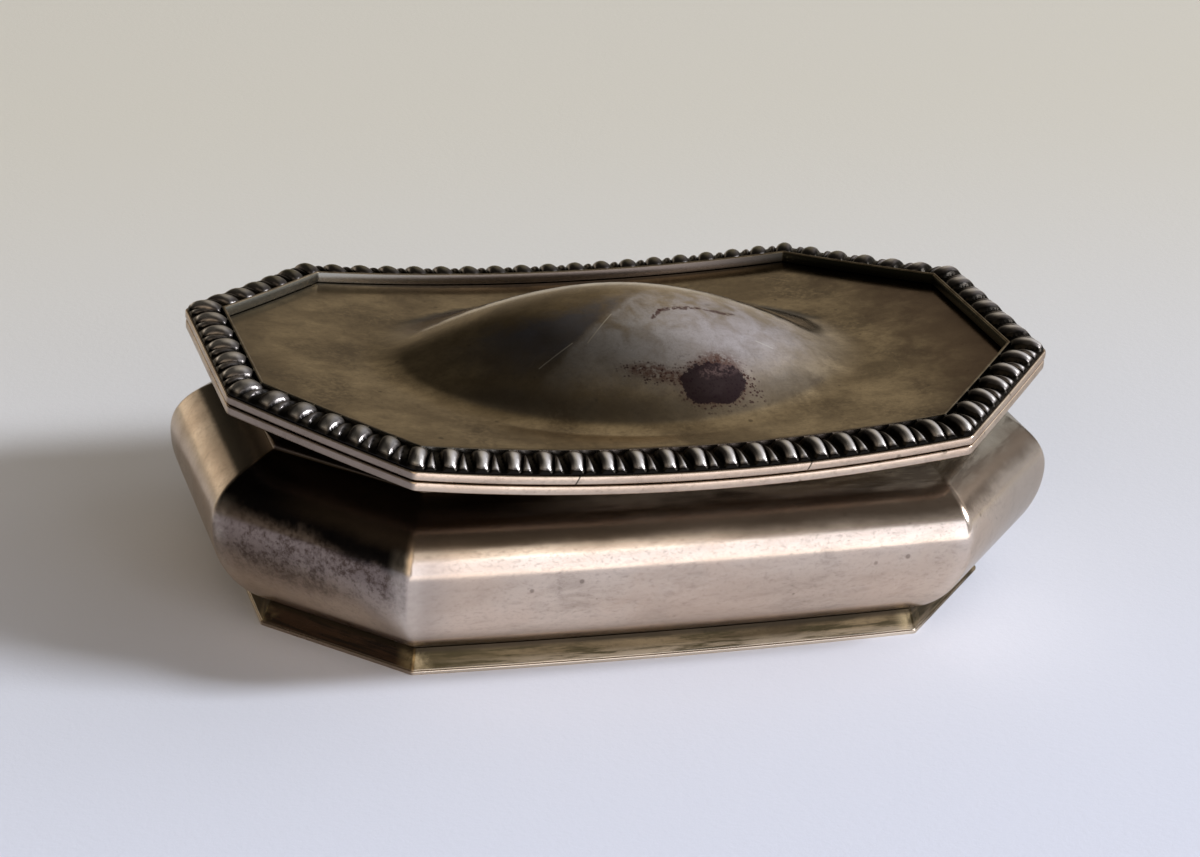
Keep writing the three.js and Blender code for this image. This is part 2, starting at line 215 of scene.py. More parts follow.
def corner_mask(side, place):
    """1 on the round corners, fading out along the straights."""
    if place < 1 or place > 2:
        return 1.0
    start, end = corner(side, 0.0), corner(side + 1, 0.0)
    length = float(np.hypot(*(end - start)))
    away = min(place - 1, 2 - place) * length
    return max(0.0, 1 - away / CORNER_FADE)


def sweep(name, stations, section_at, radius_at, closed):
    """Carries sections round the plan. A section's row is offset, height and share of the rise, and on
    the border also relief with a painted shade."""
    points, corners, reliefs, outs = [], [], [], []
    for side, place, along in stations:
        section = section_at(side, along)
        plan = plan_point(side, place, section[:, 0], radius_at(section[:, 0]))
        height = section[:, 1] + lift(plan[:, 0], section[:, 2])
        points.append(np.column_stack([plan, height]))
        corners.append(np.full(len(section), corner_mask(side, place)))
        reliefs.append(section[:, 3] if section.shape[1] > 3 else np.zeros(len(section)))
        outs.append(section[:, 0])
    columns = len(points[0])
    faces = grid_faces(len(points), columns, closed)
    if not closed:
        last = (len(points) - 1) * columns
        faces.append(list(range(columns)))
        faces.append([last + columns - 1 - index for index in range(columns)])
    masks = {"corner": corners, "relief_and_lee_shade": reliefs, "out": outs}
    masks = {mask: np.concatenate(values) for mask, values in masks.items()}
    return make_piece(name, np.concatenate(points), faces, masks)


# %% Stations and outlines
LONG_SIDE_STEPS = 36
SHORT_SIDE_STEPS = 12
CORNER_STEPS = 6
EASE_STEPS = 4


def side_stations(side, straight_steps, corner_steps):
    """Stations of one side, from the middle of one corner to the middle of the next: the side, the place
    on it and the share of the way along."""
    places = [step / corner_steps for step in range(corner_steps)]
    places += [1 + step / straight_steps for step in range(straight_steps + 1)]
    places += [2 + step / corner_steps for step in range(1, corner_steps + 1)]
    return [(side, place, index / (len(places) - 1)) for index, place in enumerate(places)]


def ring_stations():
    """Stations right round the plan; each side's last one is left to the start of the next side."""
    stations = []
    for side, name in enumerate(SIDES):
        steps = LONG_SIDE_STEPS if name in LONG_SIDES else SHORT_SIDE_STEPS
        stations += side_stations(side, steps, CORNER_STEPS)[:-1]
    return stations


def eased(corners, radii):
    """Outline through the corners with each one rounded; a row is offset, height, share of the rise."""
    corners = np.asarray(corners, float)
    outline = []
    for index, point in enumerate(corners):
        radius = radii[index]
        if not radius:
            outline.append(point)
            continue
        before, after = corners[index - 1], corners[(index + 1) % len(corners)]
        start = point + (before - point) * radius / np.hypot(*(before - point)[:2])
        end = point + (after - point) * radius / np.hypot(*(after - point)[:2])
        for step in range(EASE_STEPS + 1):
            t = step / EASE_STEPS
            outline.append((1 - t) ** 2 * start + 2 * t * (1 - t) * point + t ** 2 * end)
    return np.array(outline)


def constant(section):
    """The same section at every station."""
    return lambda side, along: section


def even(radius):
    """The same corner radius at every offset."""
    return lambda offset: np.full_like(offset, radius)


RING = ring_stations()
print("ring stations:", len(RING))

# %% [markdown]
# ## Body shell
# The body was raised from sheet: it leaves the foot at a slant, swells to a belly a little below mid-height,
# turns over a round shoulder and dives to a neck under the rim. Three Bezier curves follow that profile,
# with the same handles as the solid. Only the neck carries the boat curve, so the belly runs level.

# %% Profile of the body, in millimetres
FOOT_TOP_OFFSET = -2.3
BELLY_OFFSET = 9.4
BELLY_HEIGHT = 17.95
NECK_OFFSET = -2.2
NECK_DROP = 1.7
LIP_OFFSET = 3.0
MOUTH_OFFSET = -3.5
SHEET = 1.1
FLANGE_OFFSET = -4.8
FOOT_HANDLE = (5.9, 2.85)
BELLY_HANDLES = (8.5, 5.3)
SHOULDER_HANDLE = (6.8, 2.8)
COVE_HANDLE = (1.0, 0.4)
CURVE_STEPS = 28
COVE_STEPS = 14
INSIDE_STRIDE = 4
belly_z = BODY_BOTTOM + BELLY_HEIGHT
neck_z = BODY_TOP - NECK_DROP


def bezier(controls, steps):
    """Points and outward normals along a Bezier curve of any degree."""
    controls = np.asarray(controls, float)
    share = np.linspace(0, 1, steps)[:, None]
    degree = len(controls) - 1
    weights = [math.comb(degree, k) * share ** k * (1 - share) ** (degree - k) for k in range(degree + 1)]
    points = sum(weight * control for weight, control in zip(weights, controls))
    tangents = np.gradient(points, axis=0)
    tangents /= np.hypot(tangents[:, 0], tangents[:, 1])[:, None]
    return points, np.column_stack([tangents[:, 1], -tangents[:, 0]])


lower, lower_normal = bezier([
    (FOOT_TOP_OFFSET, BODY_BOTTOM),
    (FOOT_TOP_OFFSET + FOOT_HANDLE[0], BODY_BOTTOM + FOOT_HANDLE[1]),
    (BELLY_OFFSET, belly_z - BELLY_HANDLES[0]),
    (BELLY_OFFSET, belly_z),
], CURVE_STEPS)
shoulder, shoulder_normal = bezier([
    (BELLY_OFFSET, belly_z),
    (BELLY_OFFSET, belly_z + BELLY_HANDLES[1]),
    (NECK_OFFSET + SHOULDER_HANDLE[0], neck_z - SHOULDER_HANDLE[1]),
    (NECK_OFFSET, neck_z),
], CURVE_STEPS)
cove, _ = bezier([
    (NECK_OFFSET, neck_z),
    (NECK_OFFSET - COVE_HANDLE[0], neck_z + COVE_HANDLE[1]),
    (LIP_OFFSET, BODY_TOP),
], COVE_STEPS)
inside = np.concatenate([
    [(MOUTH_OFFSET, BODY_TOP), (MOUTH_OFFSET, neck_z)],
    (shoulder - SHEET * shoulder_normal)[::-INSIDE_STRIDE],
    (lower - SHEET * lower_normal)[::-INSIDE_STRIDE],
    [(FLANGE_OFFSET, BODY_BOTTOM + SHEET), (FLANGE_OFFSET, BODY_BOTTOM)],
])
profile = np.concatenate([lower[:-1], shoulder[:-1], cove, inside])
neck_share = np.clip((profile[:, 1] - neck_z) / NECK_DROP, 0, 1)
shell_section = np.column_stack([profile, neck_share])
print("body profile:", len(profile), "points")

# %% Body shell
RIDGE_RADIUS = 2.6
FOOT_RIDGE_RADIUS = 0.9
SHEET_CREASE = 40


def ridge_radius(offset):
    """Ridges are crisp at the foot and the neck and softer where the belly is handled most."""
    share = np.clip((offset - FOOT_TOP_OFFSET) / (BELLY_OFFSET - FOOT_TOP_OFFSET), 0, 1)
    return FOOT_RIDGE_RADIUS + (RIDGE_RADIUS - FOOT_RIDGE_RADIUS) * share


body_shell = smooth(sweep("box_body", RING, constant(shell_section), ridge_radius, True), SHEET_CREASE)
dress(body_shell, "case", "shell_silver", "body_shell")
print("body shell:", len(body_shell.data.polygons), "faces")

# %% [markdown]
# ## Foot
# The foot is a flared strip soldered under the body, with a thin lip where it meets the table. It is one
# section with eased edges, because polishing takes every edge off and those soft edges catch the light.

# %% Foot ring
FOOT_BOTTOM_OFFSET = -0.8
FOOT_LIP_OUT = 0.3
FOOT_LIP_HEIGHT = 0.7
FOOT_INNER_OFFSET = -8.3
FOOT_TURN = (0.35, 0.9)
FOOT_EASES = (0, 0.15, 0.2, 0.12, 0.8, 0.1, 0)
lip = FOOT_BOTTOM_OFFSET + FOOT_LIP_OUT
foot_section = eased([
    (FOOT_INNER_OFFSET, 0, 0),
    (lip, 0, 0),
    (lip, FOOT_LIP_HEIGHT, 0),
    (FOOT_BOTTOM_OFFSET, FOOT_LIP_HEIGHT, 0),
    (FOOT_TOP_OFFSET + FOOT_TURN[0], FOOT_TOP - FOOT_TURN[1], 0),
    (FOOT_TOP_OFFSET, FOOT_TOP, 0),
    (FOOT_INNER_OFFSET, FOOT_TOP, 0),
], FOOT_EASES)
foot_ring = smooth(sweep("foot", RING, constant(foot_section), even(FOOT_RIDGE_RADIUS), True), SHEET_CREASE)
dress(foot_ring, "case", "foot_silver", "foot_ring")
print("foot:", len(foot_ring.data.polygons), "faces")

# %% [markdown]
# ## Rim, lid band and bezel
# Two flat strips meet at the parting line: the rim of the mouth and the band round the lid. Under the lid
# a thin upright bezel drops into the mouth and centres it. The strips turn their corners in a wide round,
# as wire does, and each is cut away at the back for the hinge with a boolean.

# %% Sizes of the strips and the hinge, in millimetres
RIM_OFFSET = 6.9
BAND_OFFSET = 7.0
BAND_INNER = 3.5
STRIP_EASE = 0.4
RIM_INNER_EASE = 0.3
STRIP_CORNER = 0.4
STRIP_CORNER_SHARE = 0.3
STRIP_CREASE = 35
BEZEL_OUTER = -4.0
BEZEL_INNER = -4.8
BEZEL_DEPTH = 2.4
BEZEL_EASE = 0.25
BEZEL_CORNER = 0.9
LID_SHEET = 1.0
KNUCKLES = (("body_left", "case"), ("lid_left", "lid"), ("body_middle", "case"), ("lid_right", "lid"),
            ("body_right", "case"))
KNUCKLE_RADIUS = 1.6
KNUCKLE_LENGTH = 8.0
KNUCKLE_GAP = 0.3
PIN_HEAD = 0.5
HINGE_CLEARANCE = 0.3
NOTCH_STEPS = 48
hinge_length = len(KNUCKLES) * KNUCKLE_LENGTH + (len(KNUCKLES) - 1) * KNUCKLE_GAP


# %% Rim, band and bezel
def strip_radius(offset):
    """Corner radius of the strips: crisp at the inner edge and wider towards the outside."""
    return np.maximum(STRIP_CORNER, STRIP_CORNER_SHARE * offset)


def upright(inner, outer, bottom, top, eases):
    """Four-sided section that takes the whole rise of the boat curve."""
    return eased([(inner, bottom, 1), (outer, bottom, 1), (outer, top, 1), (inner, top, 1)], eases)


def cut_hinge_notch(piece):
    """Cuts the round channel for the hinge into a strip and applies the cut."""
    radius = (KNUCKLE_RADIUS + HINGE_CLEARANCE) * MM
    length = (hinge_length + 2 * (PIN_HEAD + HINGE_CLEARANCE)) * MM
    bpy.ops.mesh.primitive_cylinder_add(
        vertices=NOTCH_STEPS, radius=radius, depth=length,
        location=(0, HINGE_Y * MM, HINGE_Z * MM), rotation=(0, quarter, 0))
    cutter = bpy.context.object
    notch = piece.modifiers.new("hinge_notch", "BOOLEAN")
    notch.operation = "DIFFERENCE"
    notch.object = cutter
    cut = bpy.data.meshes.new_from_object(piece.evaluated_get(bpy.context.evaluated_depsgraph_get()))
    piece.modifiers.remove(notch)
    piece.data = cut
    bpy.data.objects.remove(cutter)
    return piece


rim_eases = (RIM_INNER_EASE, STRIP_EASE, STRIP_EASE, RIM_INNER_EASE)
rim_section = upright(MOUTH_OFFSET, RIM_OFFSET, RIM_BOTTOM, RIM_TOP, rim_eases)
mouth_rim = cut_hinge_notch(sweep("mouth_rim_strip", RING, constant(rim_section), strip_radius, True))
dress(smooth(mouth_rim, STRIP_CREASE), "case", "edge_silver", "mouth_rim")

band_section = upright(BAND_INNER, BAND_OFFSET, LID_BOTTOM, LID_TOP, (0, STRIP_EASE, STRIP_EASE, 0))
lid_band = cut_hinge_notch(sweep("lid_band_strip", RING, constant(band_section), strip_radius, True))
dress(smooth(lid_band, STRIP_CREASE), "lid", "edge_silver", "lid_edge_band")

bezel_bottom = RIM_TOP - BEZEL_DEPTH
bezel_top = LID_TOP - LID_SHEET - SEAM
bezel_section = upright(BEZEL_INNER, BEZEL_OUTER, bezel_bottom, bezel_top, (BEZEL_EASE, BEZEL_EASE, 0, 0))
lid_bezel = sweep("lid_bezel_band", RING, constant(bezel_section), even(BEZEL_CORNER), True)
dress(smooth(lid_bezel, STRIP_CREASE), "lid", "inner_silver", "lid_bezel")
for strip in (mouth_rim, lid_band, lid_bezel):
    print(strip.name, len(strip.data.polygons), "faces")

# %% [markdown]
# ## Lid plate and dome
# The lid's plate follows the boat curve and is raised to a smooth oval dome in the middle. A subdivided plane
# with a sculpted bump would drift from the frame, so the plate is rings drawn in from the octagon to the
# centre, with the height at each point from one formula. Two masks go on the mesh: `inset` is the distance
# from the octagon's sides, and `outer` is 1 on the upper surface.

# %% Height of the lid
DOME_HALF_LENGTH = 42.5
DOME_HALF_WIDTH = 30.0
DOME_HEIGHT = 14.3
DOME_FULLNESS = 0.85
DOME_TOP_EASE = 0.02
DOME_TOE = 3.0


def dome(x, y):
    """Height of the dome: a rounded cap that runs out into the plate through a wide hollow toe."""
    reach = (x / DOME_HALF_LENGTH) ** 2 + (y / DOME_HALF_WIDTH) ** 2
    fall = (reach + DOME_TOP_EASE) ** DOME_FULLNESS - DOME_TOP_EASE ** DOME_FULLNESS
    cap = DOME_HEIGHT * (1 - fall)
    toe = np.clip(cap + DOME_TOE, 0, 2 * DOME_TOE) ** 2 / (4 * DOME_TOE)
    return np.where(cap > DOME_TOE, cap, toe)


def plate_top(x, y):
    return LID_TOP + lift(x, 1) + dome(x, y)


print("dome rises", round(float(dome(0.0, 0.0)), 1), "mm over the plate")

# %% Lid plate
PLATE_OFFSET = BAND_INNER - SEAM
PLATE_RINGS = 64


def inset(flat):
    """Distance of plan points inside the octagon's sides."""
    gaps = []
    for side in range(len(SIDES)):
        facing = np.array([math.cos(side_angle(side)), math.sin(side_angle(side))])
        gaps.append((corner(side, 0.0) - flat) @ facing)
    return np.min(gaps, axis=0)


def plate_piece(name, stations, rings):
    """A sheet from the centre out to the plan, with an upper and a lower surface."""
    offset = np.array([PLATE_OFFSET])
    rim = [plan_point(side, place, offset, strip_radius(offset)) for side, place, _ in stations]
    rim = np.concatenate(rim)
    shares = (np.arange(1, rings + 1) / rings)[:, None, None]
    flat = np.concatenate([[[0, 0]], (rim[None] * shares).reshape(-1, 2)])
    top = np.column_stack([flat, plate_top(flat[:, 0], flat[:, 1])])
    points = np.concatenate([top, top - (0, 0, LID_SHEET)])
    count, sheet = len(rim), len(flat)
    edge = 1 + (rings - 1) * count
    faces = []
    for index in range(count):
        after = (index + 1) % count
        faces.append([0, 1 + index, 1 + after])
        faces.append([sheet, sheet + 1 + after, sheet + 1 + index])
        faces.append([edge + index, sheet + edge + index, sheet + edge + after, edge + after])
        for ring in range(rings - 1):
            near = 1 + ring * count
            far = near + count
            faces.append([near + index, far + index, far + after, near + after])
            near, far = near + sheet, far + sheet
            faces.append([near + index, near + after, far + after, far + index])
    masks = {"inset": np.tile(inset(flat), 2), "outer": np.repeat([1.0, 0.0], sheet)}
    return make_piece(name, points, faces, masks)


lid_plate = smooth(plate_piece("lid_domed_plate", RING, PLATE_RINGS), SHEET_CREASE)
dress(lid_plate, "lid", "lid_silver", "lid_plate")
print("lid plate:", len(lid_plate.data.polygons), "faces")

# %% [markdown]
# ## Gadrooned border
# The border is a stamped strip of round lobes across its width, with a narrow reed in each hollow and a thin
# flat ledge along its inner edge. One lobe sits on every corner. Modelling one lobe and repeating it with an
# array would leave gaps at the corners, so the relief is a height formula of two numbers: the phase along
# the side, and the place across the strip. How far a point stands out of the hollow, lowered as painted shade
# on the flank of each lobe away from the light, is kept as an attribute on the mesh.

# %% Relief of the border
LOBE_HALF_WIDTH = (0.33, 0.21)
LOBE_ROUND_END = 0.2
LOBE_END_TAPER = 0.9
LEE_SHADE = 0.8
CREST_PLACE = 0.36
CREST_RISE = 0.45
CREST_INNER_DROP = 0.7
CREST_OUTER_DROP = 1.9
CREST_TURN = 0.88
HOLLOW_START = 0.85
HOLLOW_OUTER_DROP = 0.95
END_SHADE = 0.07
REED_PLACE = 0.43
REED_HALF_WIDTH = (0.03, 0.15)
REED_RISE = (0.25, 0.72)
REED_SHEEN = 0.5


def from_middle(phase):
    """Phase as a distance from the nearest whole number, -0.5 to 0.5."""
    return (phase + 0.5) % 1 - 0.5


def half_round(aside, half_width):
    """Height of a round ridge of height 1."""
    return np.sqrt(np.maximum(0, 1 - (aside / half_width) ** 2))


def lobe_relief(phase, across):
    """Height of the strip against its inner ledge, and a mask of how far it stands out, from 0 to about 1,
    with painted shade on the lee flank of each lobe.
    """
    inner = np.maximum(0, (CREST_PLACE - across) / CREST_PLACE)
    outer = np.clip((across - CREST_PLACE) / (1 - CREST_PLACE), 0, 1)
    fall = (1 - np.sqrt(1 - (CREST_TURN * outer) ** 2)) / (1 - math.sqrt(1 - CREST_TURN ** 2))
    crest = CREST_RISE - CREST_INNER_DROP * inner ** 2 - CREST_OUTER_DROP * fall
    hollow = -HOLLOW_START - HOLLOW_OUTER_DROP * fall
    rounding = np.maximum(0, (LOBE_ROUND_END - across) / LOBE_ROUND_END)
    half_width = np.interp(across, (CREST_PLACE, 1), LOBE_HALF_WIDTH)
    half_width = half_width * np.sqrt(1 - LOBE_END_TAPER * rounding ** 2)
    aside = from_middle(phase)
    lobe = half_round(aside, half_width)
    reed_width = np.interp(across, (0, 1), REED_HALF_WIDTH)
    reed = np.interp(across, (0, 1), REED_RISE) * half_round(from_middle(phase - REED_PLACE), reed_width)
    height = hollow + (crest - hollow) * np.maximum(lobe, reed)
    shade = np.clip((1 - across) / END_SHADE, 0, 1)
    # Painted shade: the mask is lowered on the flank of each lobe away from the light.
    lee = 1 - LEE_SHADE * np.clip(-aside / half_width, 0, 1)
    return height, shade * np.maximum(lobe * lee, reed * (REED_SHEEN + across))


# %% Gadrooned border
BORDER_WIDTH = 6.6
LEDGE_WIDTH = 0.7
LONG_SIDE_LOBES = 18
SHORT_SIDE_LOBES = 6
STEPS_PER_LOBE = 28
INNER_STEPS = 10
OUTER_STEPS = 20
LOBE_END = 6.4
LOBE_CREASE = 50
SOLE_EDGE = 0.12
LEDGE_BEVEL = 0.15
LEDGE_FALL = 0.25
LEDGE_FOOT = (0.08, 0.1)
WALL_RELIEF, LEDGE_FOOT_RELIEF, LEDGE_RELIEF, LEDGE_EDGE_RELIEF = 0.3, 0.6, 0.9, 0.7
MEASURING_STEPS = (200, 40)

inner_places = np.linspace(0, CREST_PLACE, INNER_STEPS, endpoint=False)
outer_places = CREST_PLACE + (1 - CREST_PLACE) * np.sin(np.linspace(0, quarter, OUTER_STEPS))
across_places = np.concatenate([inner_places, outer_places])
across_offsets = LEDGE_WIDTH + (LOBE_END - LEDGE_WIDTH) * across_places


def lobe_count(side):
    return LONG_SIDE_LOBES if SIDES[side] in LONG_SIDES else SHORT_SIDE_LOBES


def border_section(side, along):
    """Closed section of the border at a place along its side: flat under, relief on top."""
    height, relief_and_lee_shade = lobe_relief(along * lobe_count(side), across_places)
    top = np.column_stack([across_offsets, BORDER_TOP + height, np.ones_like(relief_and_lee_shade), relief_and_lee_shade])
    return np.array([
        (0, BORDER_BOTTOM, 1, WALL_RELIEF),
        (BORDER_WIDTH, BORDER_BOTTOM, 1, 0),
        (BORDER_WIDTH, BORDER_BOTTOM + SOLE_EDGE, 1, 0),
        *top[::-1],
        (LEDGE_WIDTH - LEDGE_FOOT[0], BORDER_TOP - LEDGE_FOOT[1], 1, LEDGE_FOOT_RELIEF),
        (LEDGE_WIDTH - LEDGE_FALL, BORDER_TOP, 1, LEDGE_RELIEF),
        (LEDGE_BEVEL, BORDER_TOP, 1, LEDGE_RELIEF),
        (0, BORDER_TOP - LEDGE_BEVEL, 1, LEDGE_EDGE_RELIEF),
    ])


def even_stations(side, count):
    """Stations of one side at even steps of length, measured along the middle of the border."""
    dense = side_stations(side, *MEASURING_STEPS)
    middle = np.array([BORDER_WIDTH / 2])
    line = [plan_point(side, place, middle, strip_radius(middle)) for _, place, _ in dense]
    run = np.concatenate([[0], np.cumsum(np.hypot(*np.diff(np.concatenate(line), axis=0).T))])
    wanted = np.linspace(0, run[-1], count + 1)
    places = np.interp(wanted, run, [place for _, place, _ in dense])
    return [(side, place, index / count) for index, place in enumerate(places)]


borders = []
for side, name in enumerate(SIDES):
    stations = even_stations(side, lobe_count(side) * STEPS_PER_LOBE)
    border = smooth(sweep("border_" + name, stations, border_section, strip_radius, False), LOBE_CREASE)
    borders.append(dress(border, "lid", "border_silver", "gadroon_" + name))
print("border:", sum(lobe_count(side) for side in range(len(SIDES))), "lobes")

# %% [markdown]
# ## Hinge
# The hinge hides at the back: five short tubes let into the two strips, threaded on a riveted pin. Turned
# pieces like these are a profile spun round an axis, with a small bevel on the outer edges.

# %% Hinge knuckles and pin
PIN_RADIUS = 0.7
PIN_CLEARANCE = 0.3
PIN_HEAD_RADIUS = 1.2
PIN_HEAD_TAPER = 0.8
PIN_HEAD_EDGE = 0.2
PIN_CENTRE = 0.02
KNUCKLE_BEVEL = 0.2
TURNED_STEPS = 40


def turned(name, half_profile, centre_x):
    """Spins a profile of (along, radius) and its mirror image round the hinge's axis."""
    profile = np.array(half_profile + [(-along, radius) for along, radius in half_profile[::-1]])
    turn = np.linspace(0, 2 * math.pi, TURNED_STEPS, endpoint=False)[:, None]
    x = np.broadcast_to(centre_x + profile[:, 0], (TURNED_STEPS, len(profile)))
    y = HINGE_Y + profile[:, 1] * np.cos(turn)
    z = HINGE_Z - profile[:, 1] * np.sin(turn)
    points = np.stack([x, y, z], -1).reshape(-1, 3)
    piece = make_piece(name, points, grid_faces(TURNED_STEPS, len(profile), True), {})
    return smooth(piece, STRIP_CREASE)


half = KNUCKLE_LENGTH / 2
half_knuckle = [
    (half, PIN_RADIUS + PIN_CLEARANCE),
    (half, KNUCKLE_RADIUS - KNUCKLE_BEVEL),
    (half - KNUCKLE_BEVEL, KNUCKLE_RADIUS),
]
hinge_pieces = []
for position, (name, body) in enumerate(KNUCKLES):
    centre_x = (position - len(KNUCKLES) // 2) * (KNUCKLE_LENGTH + KNUCKLE_GAP)
    knuckle = turned("knuckle_" + name, half_knuckle, centre_x)
    hinge_pieces.append(dress(knuckle, body, "hinge_metal", "hinge_knuckle_" + name))

head_start = hinge_length / 2 + SEAM
head_end = head_start + PIN_HEAD
half_pin = [
    (head_end, PIN_CENTRE),
    (head_end, PIN_HEAD_TAPER * PIN_HEAD_RADIUS),
    (head_start + PIN_HEAD_EDGE, PIN_HEAD_RADIUS),
    (head_start, PIN_HEAD_RADIUS),
    (head_start, PIN_RADIUS),
]
pin = turned("riveted_pin", half_pin, 0.0)
hinge_pieces.append(dress(pin, "case", "hinge_metal", "hinge_pin"))
print("hinge:", len(KNUCKLES), "knuckles over", round(hinge_length, 1), "mm")

# %% [markdown]
# ## Cedar lining
# Inside stand eight thin cedar boards on a cedar floor, with a loose divider across the middle. They are
# plain boards, so each is a strip with eased edges. The floor and the divider keep their solids' shape.

# %% Cedar boards
CEDAR_OUTER = -3.7
CEDAR_INNER = -5.7
CEDAR_EASE = 0.45
CEDAR_DROP = 0.6
CEDAR_CORNER = 0.05
CEDAR_STEPS = 24
board_bottom = level("liner_front", 0)
board_top = RIM_TOP - BEZEL_DEPTH - CEDAR_DROP
board_section = eased([
    (CEDAR_INNER, board_bottom, 0),
    (CEDAR_OUTER, board_bottom, 0),
    (CEDAR_OUTER, board_top, 1),
    (CEDAR_INNER, board_top, 1),
], (0, 0, CEDAR_EASE, CEDAR_EASE))

boards = []
for side, name in enumerate(SIDES):
    straight = side_stations(side, CEDAR_STEPS, 1)[1:-1]
    board = sweep("cedar_" + name, straight, constant(board_section), even(CEDAR_CORNER), False)
    boards.append(dress(smooth(board, STRIP_CREASE), "case", "cedar", "liner_" + name))
print("cedar boards:", len(boards))

# %% [markdown]
# ## Node helpers
# A finish is a tree of nodes, and each node takes several calls to make and to link. A small class keeps a
# tree and offers the few kinds of node that this box needs, so that each finish below reads as a list.

# %% Node helpers
# The Mix node has sockets for every kind of value. These are its share, its two colours and their mix.
MIX_INPUTS = (0, 6, 7)
MIX_RESULT = 2


class Nodes:
    """A node tree with short ways to add to it. A value is a socket, a number or three numbers."""

    def __init__(self, tree):
        self.tree = tree

    def add(self, kind, **settings):
        node = self.tree.nodes.new(kind)
        for key, value in settings.items():
            setattr(node, key, value)
        return node

    def put(self, socket, value):
        """Links a socket or sets it; a colour is three numbers."""
        if isinstance(value, bpy.types.NodeSocket):
            self.tree.links.new(value, socket)
        else:
            socket.default_value = (*value, 1) if socket.type == "RGBA" else value

    def feed(self, node, **sockets):
        """Puts values on named inputs; an underscore in a name stands for a space."""
        for key, value in sockets.items():
            self.put(node.inputs[key.replace("_", " ")], value)
        return node

    def calc(self, operation, *values):
        node = self.add("ShaderNodeMath", operation=operation)
        for socket, value in zip(node.inputs, values):
            self.put(socket, value)
        return node.outputs[0]

    def both(self, first, *others):
        """Product of masks, which is where all of them are."""
        for other in others:
            first = self.calc("MULTIPLY", first, other)
        return first

    def invert(self, mask):
        return self.calc("SUBTRACT", 1.0, mask)

    def shift(self, base, value, amount):
        """A base moved by an amount of another value, such as an edge that wanders with noise."""
        return self.calc("MULTIPLY_ADD", value, amount, base)

    def step(self, value, low, high, interpolation="SMOOTHSTEP"):
        """0 at low and 1 at high, whichever of the two is larger."""
        node = self.add("ShaderNodeMapRange", interpolation_type=interpolation)
        self.feed(node, Value=value, From_Min=low, From_Max=high)
        return node.outputs["Result"]

    def mix(self, share, first, second):
        """Colour between two others."""
        node = self.add("ShaderNodeMix", data_type="RGBA")
        for index, value in zip(MIX_INPUTS, (share, first, second)):
            self.put(node.inputs[index], value)
        return node.outputs[MIX_RESULT]

    def noise(self, vector, scale, detail=4.0, roughness=0.55, distortion=0.0):
        node = self.add("ShaderNodeTexNoise")
        self.feed(node, Vector=vector, Scale=scale, Detail=detail, Roughness=roughness,
                  Distortion=distortion)
        return node.outputs["Fac"]

    def scaled(self, vector, *factors):
        node = self.add("ShaderNodeMapping")
        return self.feed(node, Vector=vector, Scale=factors).outputs[0]

    def split(self, vector):
        node = self.add("ShaderNodeSeparateXYZ")
        return self.feed(node, Vector=vector).outputs

    def use(self, group, vector, **values):
        """Places a node group and gives its output."""
        node = self.add("ShaderNodeGroup", node_tree=group.tree)
        return self.feed(node, Vector=vector, **values).outputs[0]


# %% A node group
class Group(Nodes):
    """A node group that turns a position and a few numbers into one mask or height."""

    def __init__(self, name, output, **inputs):
        super().__init__(bpy.data.node_groups.new(name, "ShaderNodeTree"))
        sockets = self.tree.interface
        sockets.new_socket("Vector", in_out="INPUT", socket_type="NodeSocketVector")
        for label, value in inputs.items():
            socket = sockets.new_socket(label, in_out="INPUT", socket_type="NodeSocketFloat")
            socket.default_value = value
        sockets.new_socket(output, in_out="OUTPUT", socket_type="NodeSocketFloat")
        self.given = self.add("NodeGroupInput").outputs
        self.result = self.add("NodeGroupOutput").inputs[output]


# %% [markdown]
# ## Node groups
# Old silver plate is one metal with several layers of history: cloudy tarnish, fine lines from years of
# polishing, small dark specks, the uneven surface of hand-worked sheet, and hairlines. Each of those is a
# node group, built once, that turns a position into a mask or a height. Materials then differ only in their
# values. Scales count waves to the metre, because the position is in metres.

# %% Tarnish and polish lines
tarnish = Group("tarnish_cloud", "Mask", Scale=40.0, Low=0.4, High=0.65)
given = tarnish.given
clouds = tarnish.noise(given["Vector"], given["Scale"], detail=5.0, roughness=0.6, distortion=0.4)
tarnish.put(tarnish.result, tarnish.step(clouds, given["Low"], given["High"]))

polish = Group("polish_lines", "Lines", Along=30.0, Across=900.0)
stretch = polish.add("ShaderNodeCombineXYZ")
polish.feed(stretch, X=polish.given["Along"], Y=polish.given["Across"], Z=polish.given["Across"])
stretched = polish.add("ShaderNodeVectorMath", operation="MULTIPLY")
polish.put(stretched.inputs[0], polish.given["Vector"])
polish.put(stretched.inputs[1], stretch.outputs[0])
polish.put(polish.result, polish.noise(stretched.outputs[0], 1.0, detail=6.0, roughness=0.7))

# %% Specks, hand-worked metal and hairlines
SMALLEST_SPECK = 0.35
SPECK_SOFTNESS = 0.5
LINE_DEPTH = 0.05
HAIRLINE_BREAKS = 160.0

specks = Group("specks", "Mask", Scale=300.0, Size=0.16, Share=0.3)
cells = specks.add("ShaderNodeTexVoronoi")
specks.feed(cells, Vector=specks.given["Vector"], Scale=specks.given["Scale"])
chosen = specks.add("ShaderNodeSeparateColor")
specks.put(chosen.inputs[0], cells.outputs["Color"])
is_speck = specks.calc("LESS_THAN", chosen.outputs[0], specks.given["Share"])
size = specks.both(specks.given["Size"], specks.calc("ADD", chosen.outputs[1], SMALLEST_SPECK))
near = specks.invert(specks.calc("DIVIDE", cells.outputs["Distance"], size))
specks.put(specks.result, specks.both(specks.step(near, 0.0, SPECK_SOFTNESS), is_speck))

worked = Group("hand_worked", "Height", Scale=45.0, Lines=0.5)
waves = worked.noise(worked.given["Vector"], worked.given["Scale"], detail=2.0, roughness=0.45)
worked.put(worked.result, worked.shift(waves, worked.given["Lines"], LINE_DEPTH))

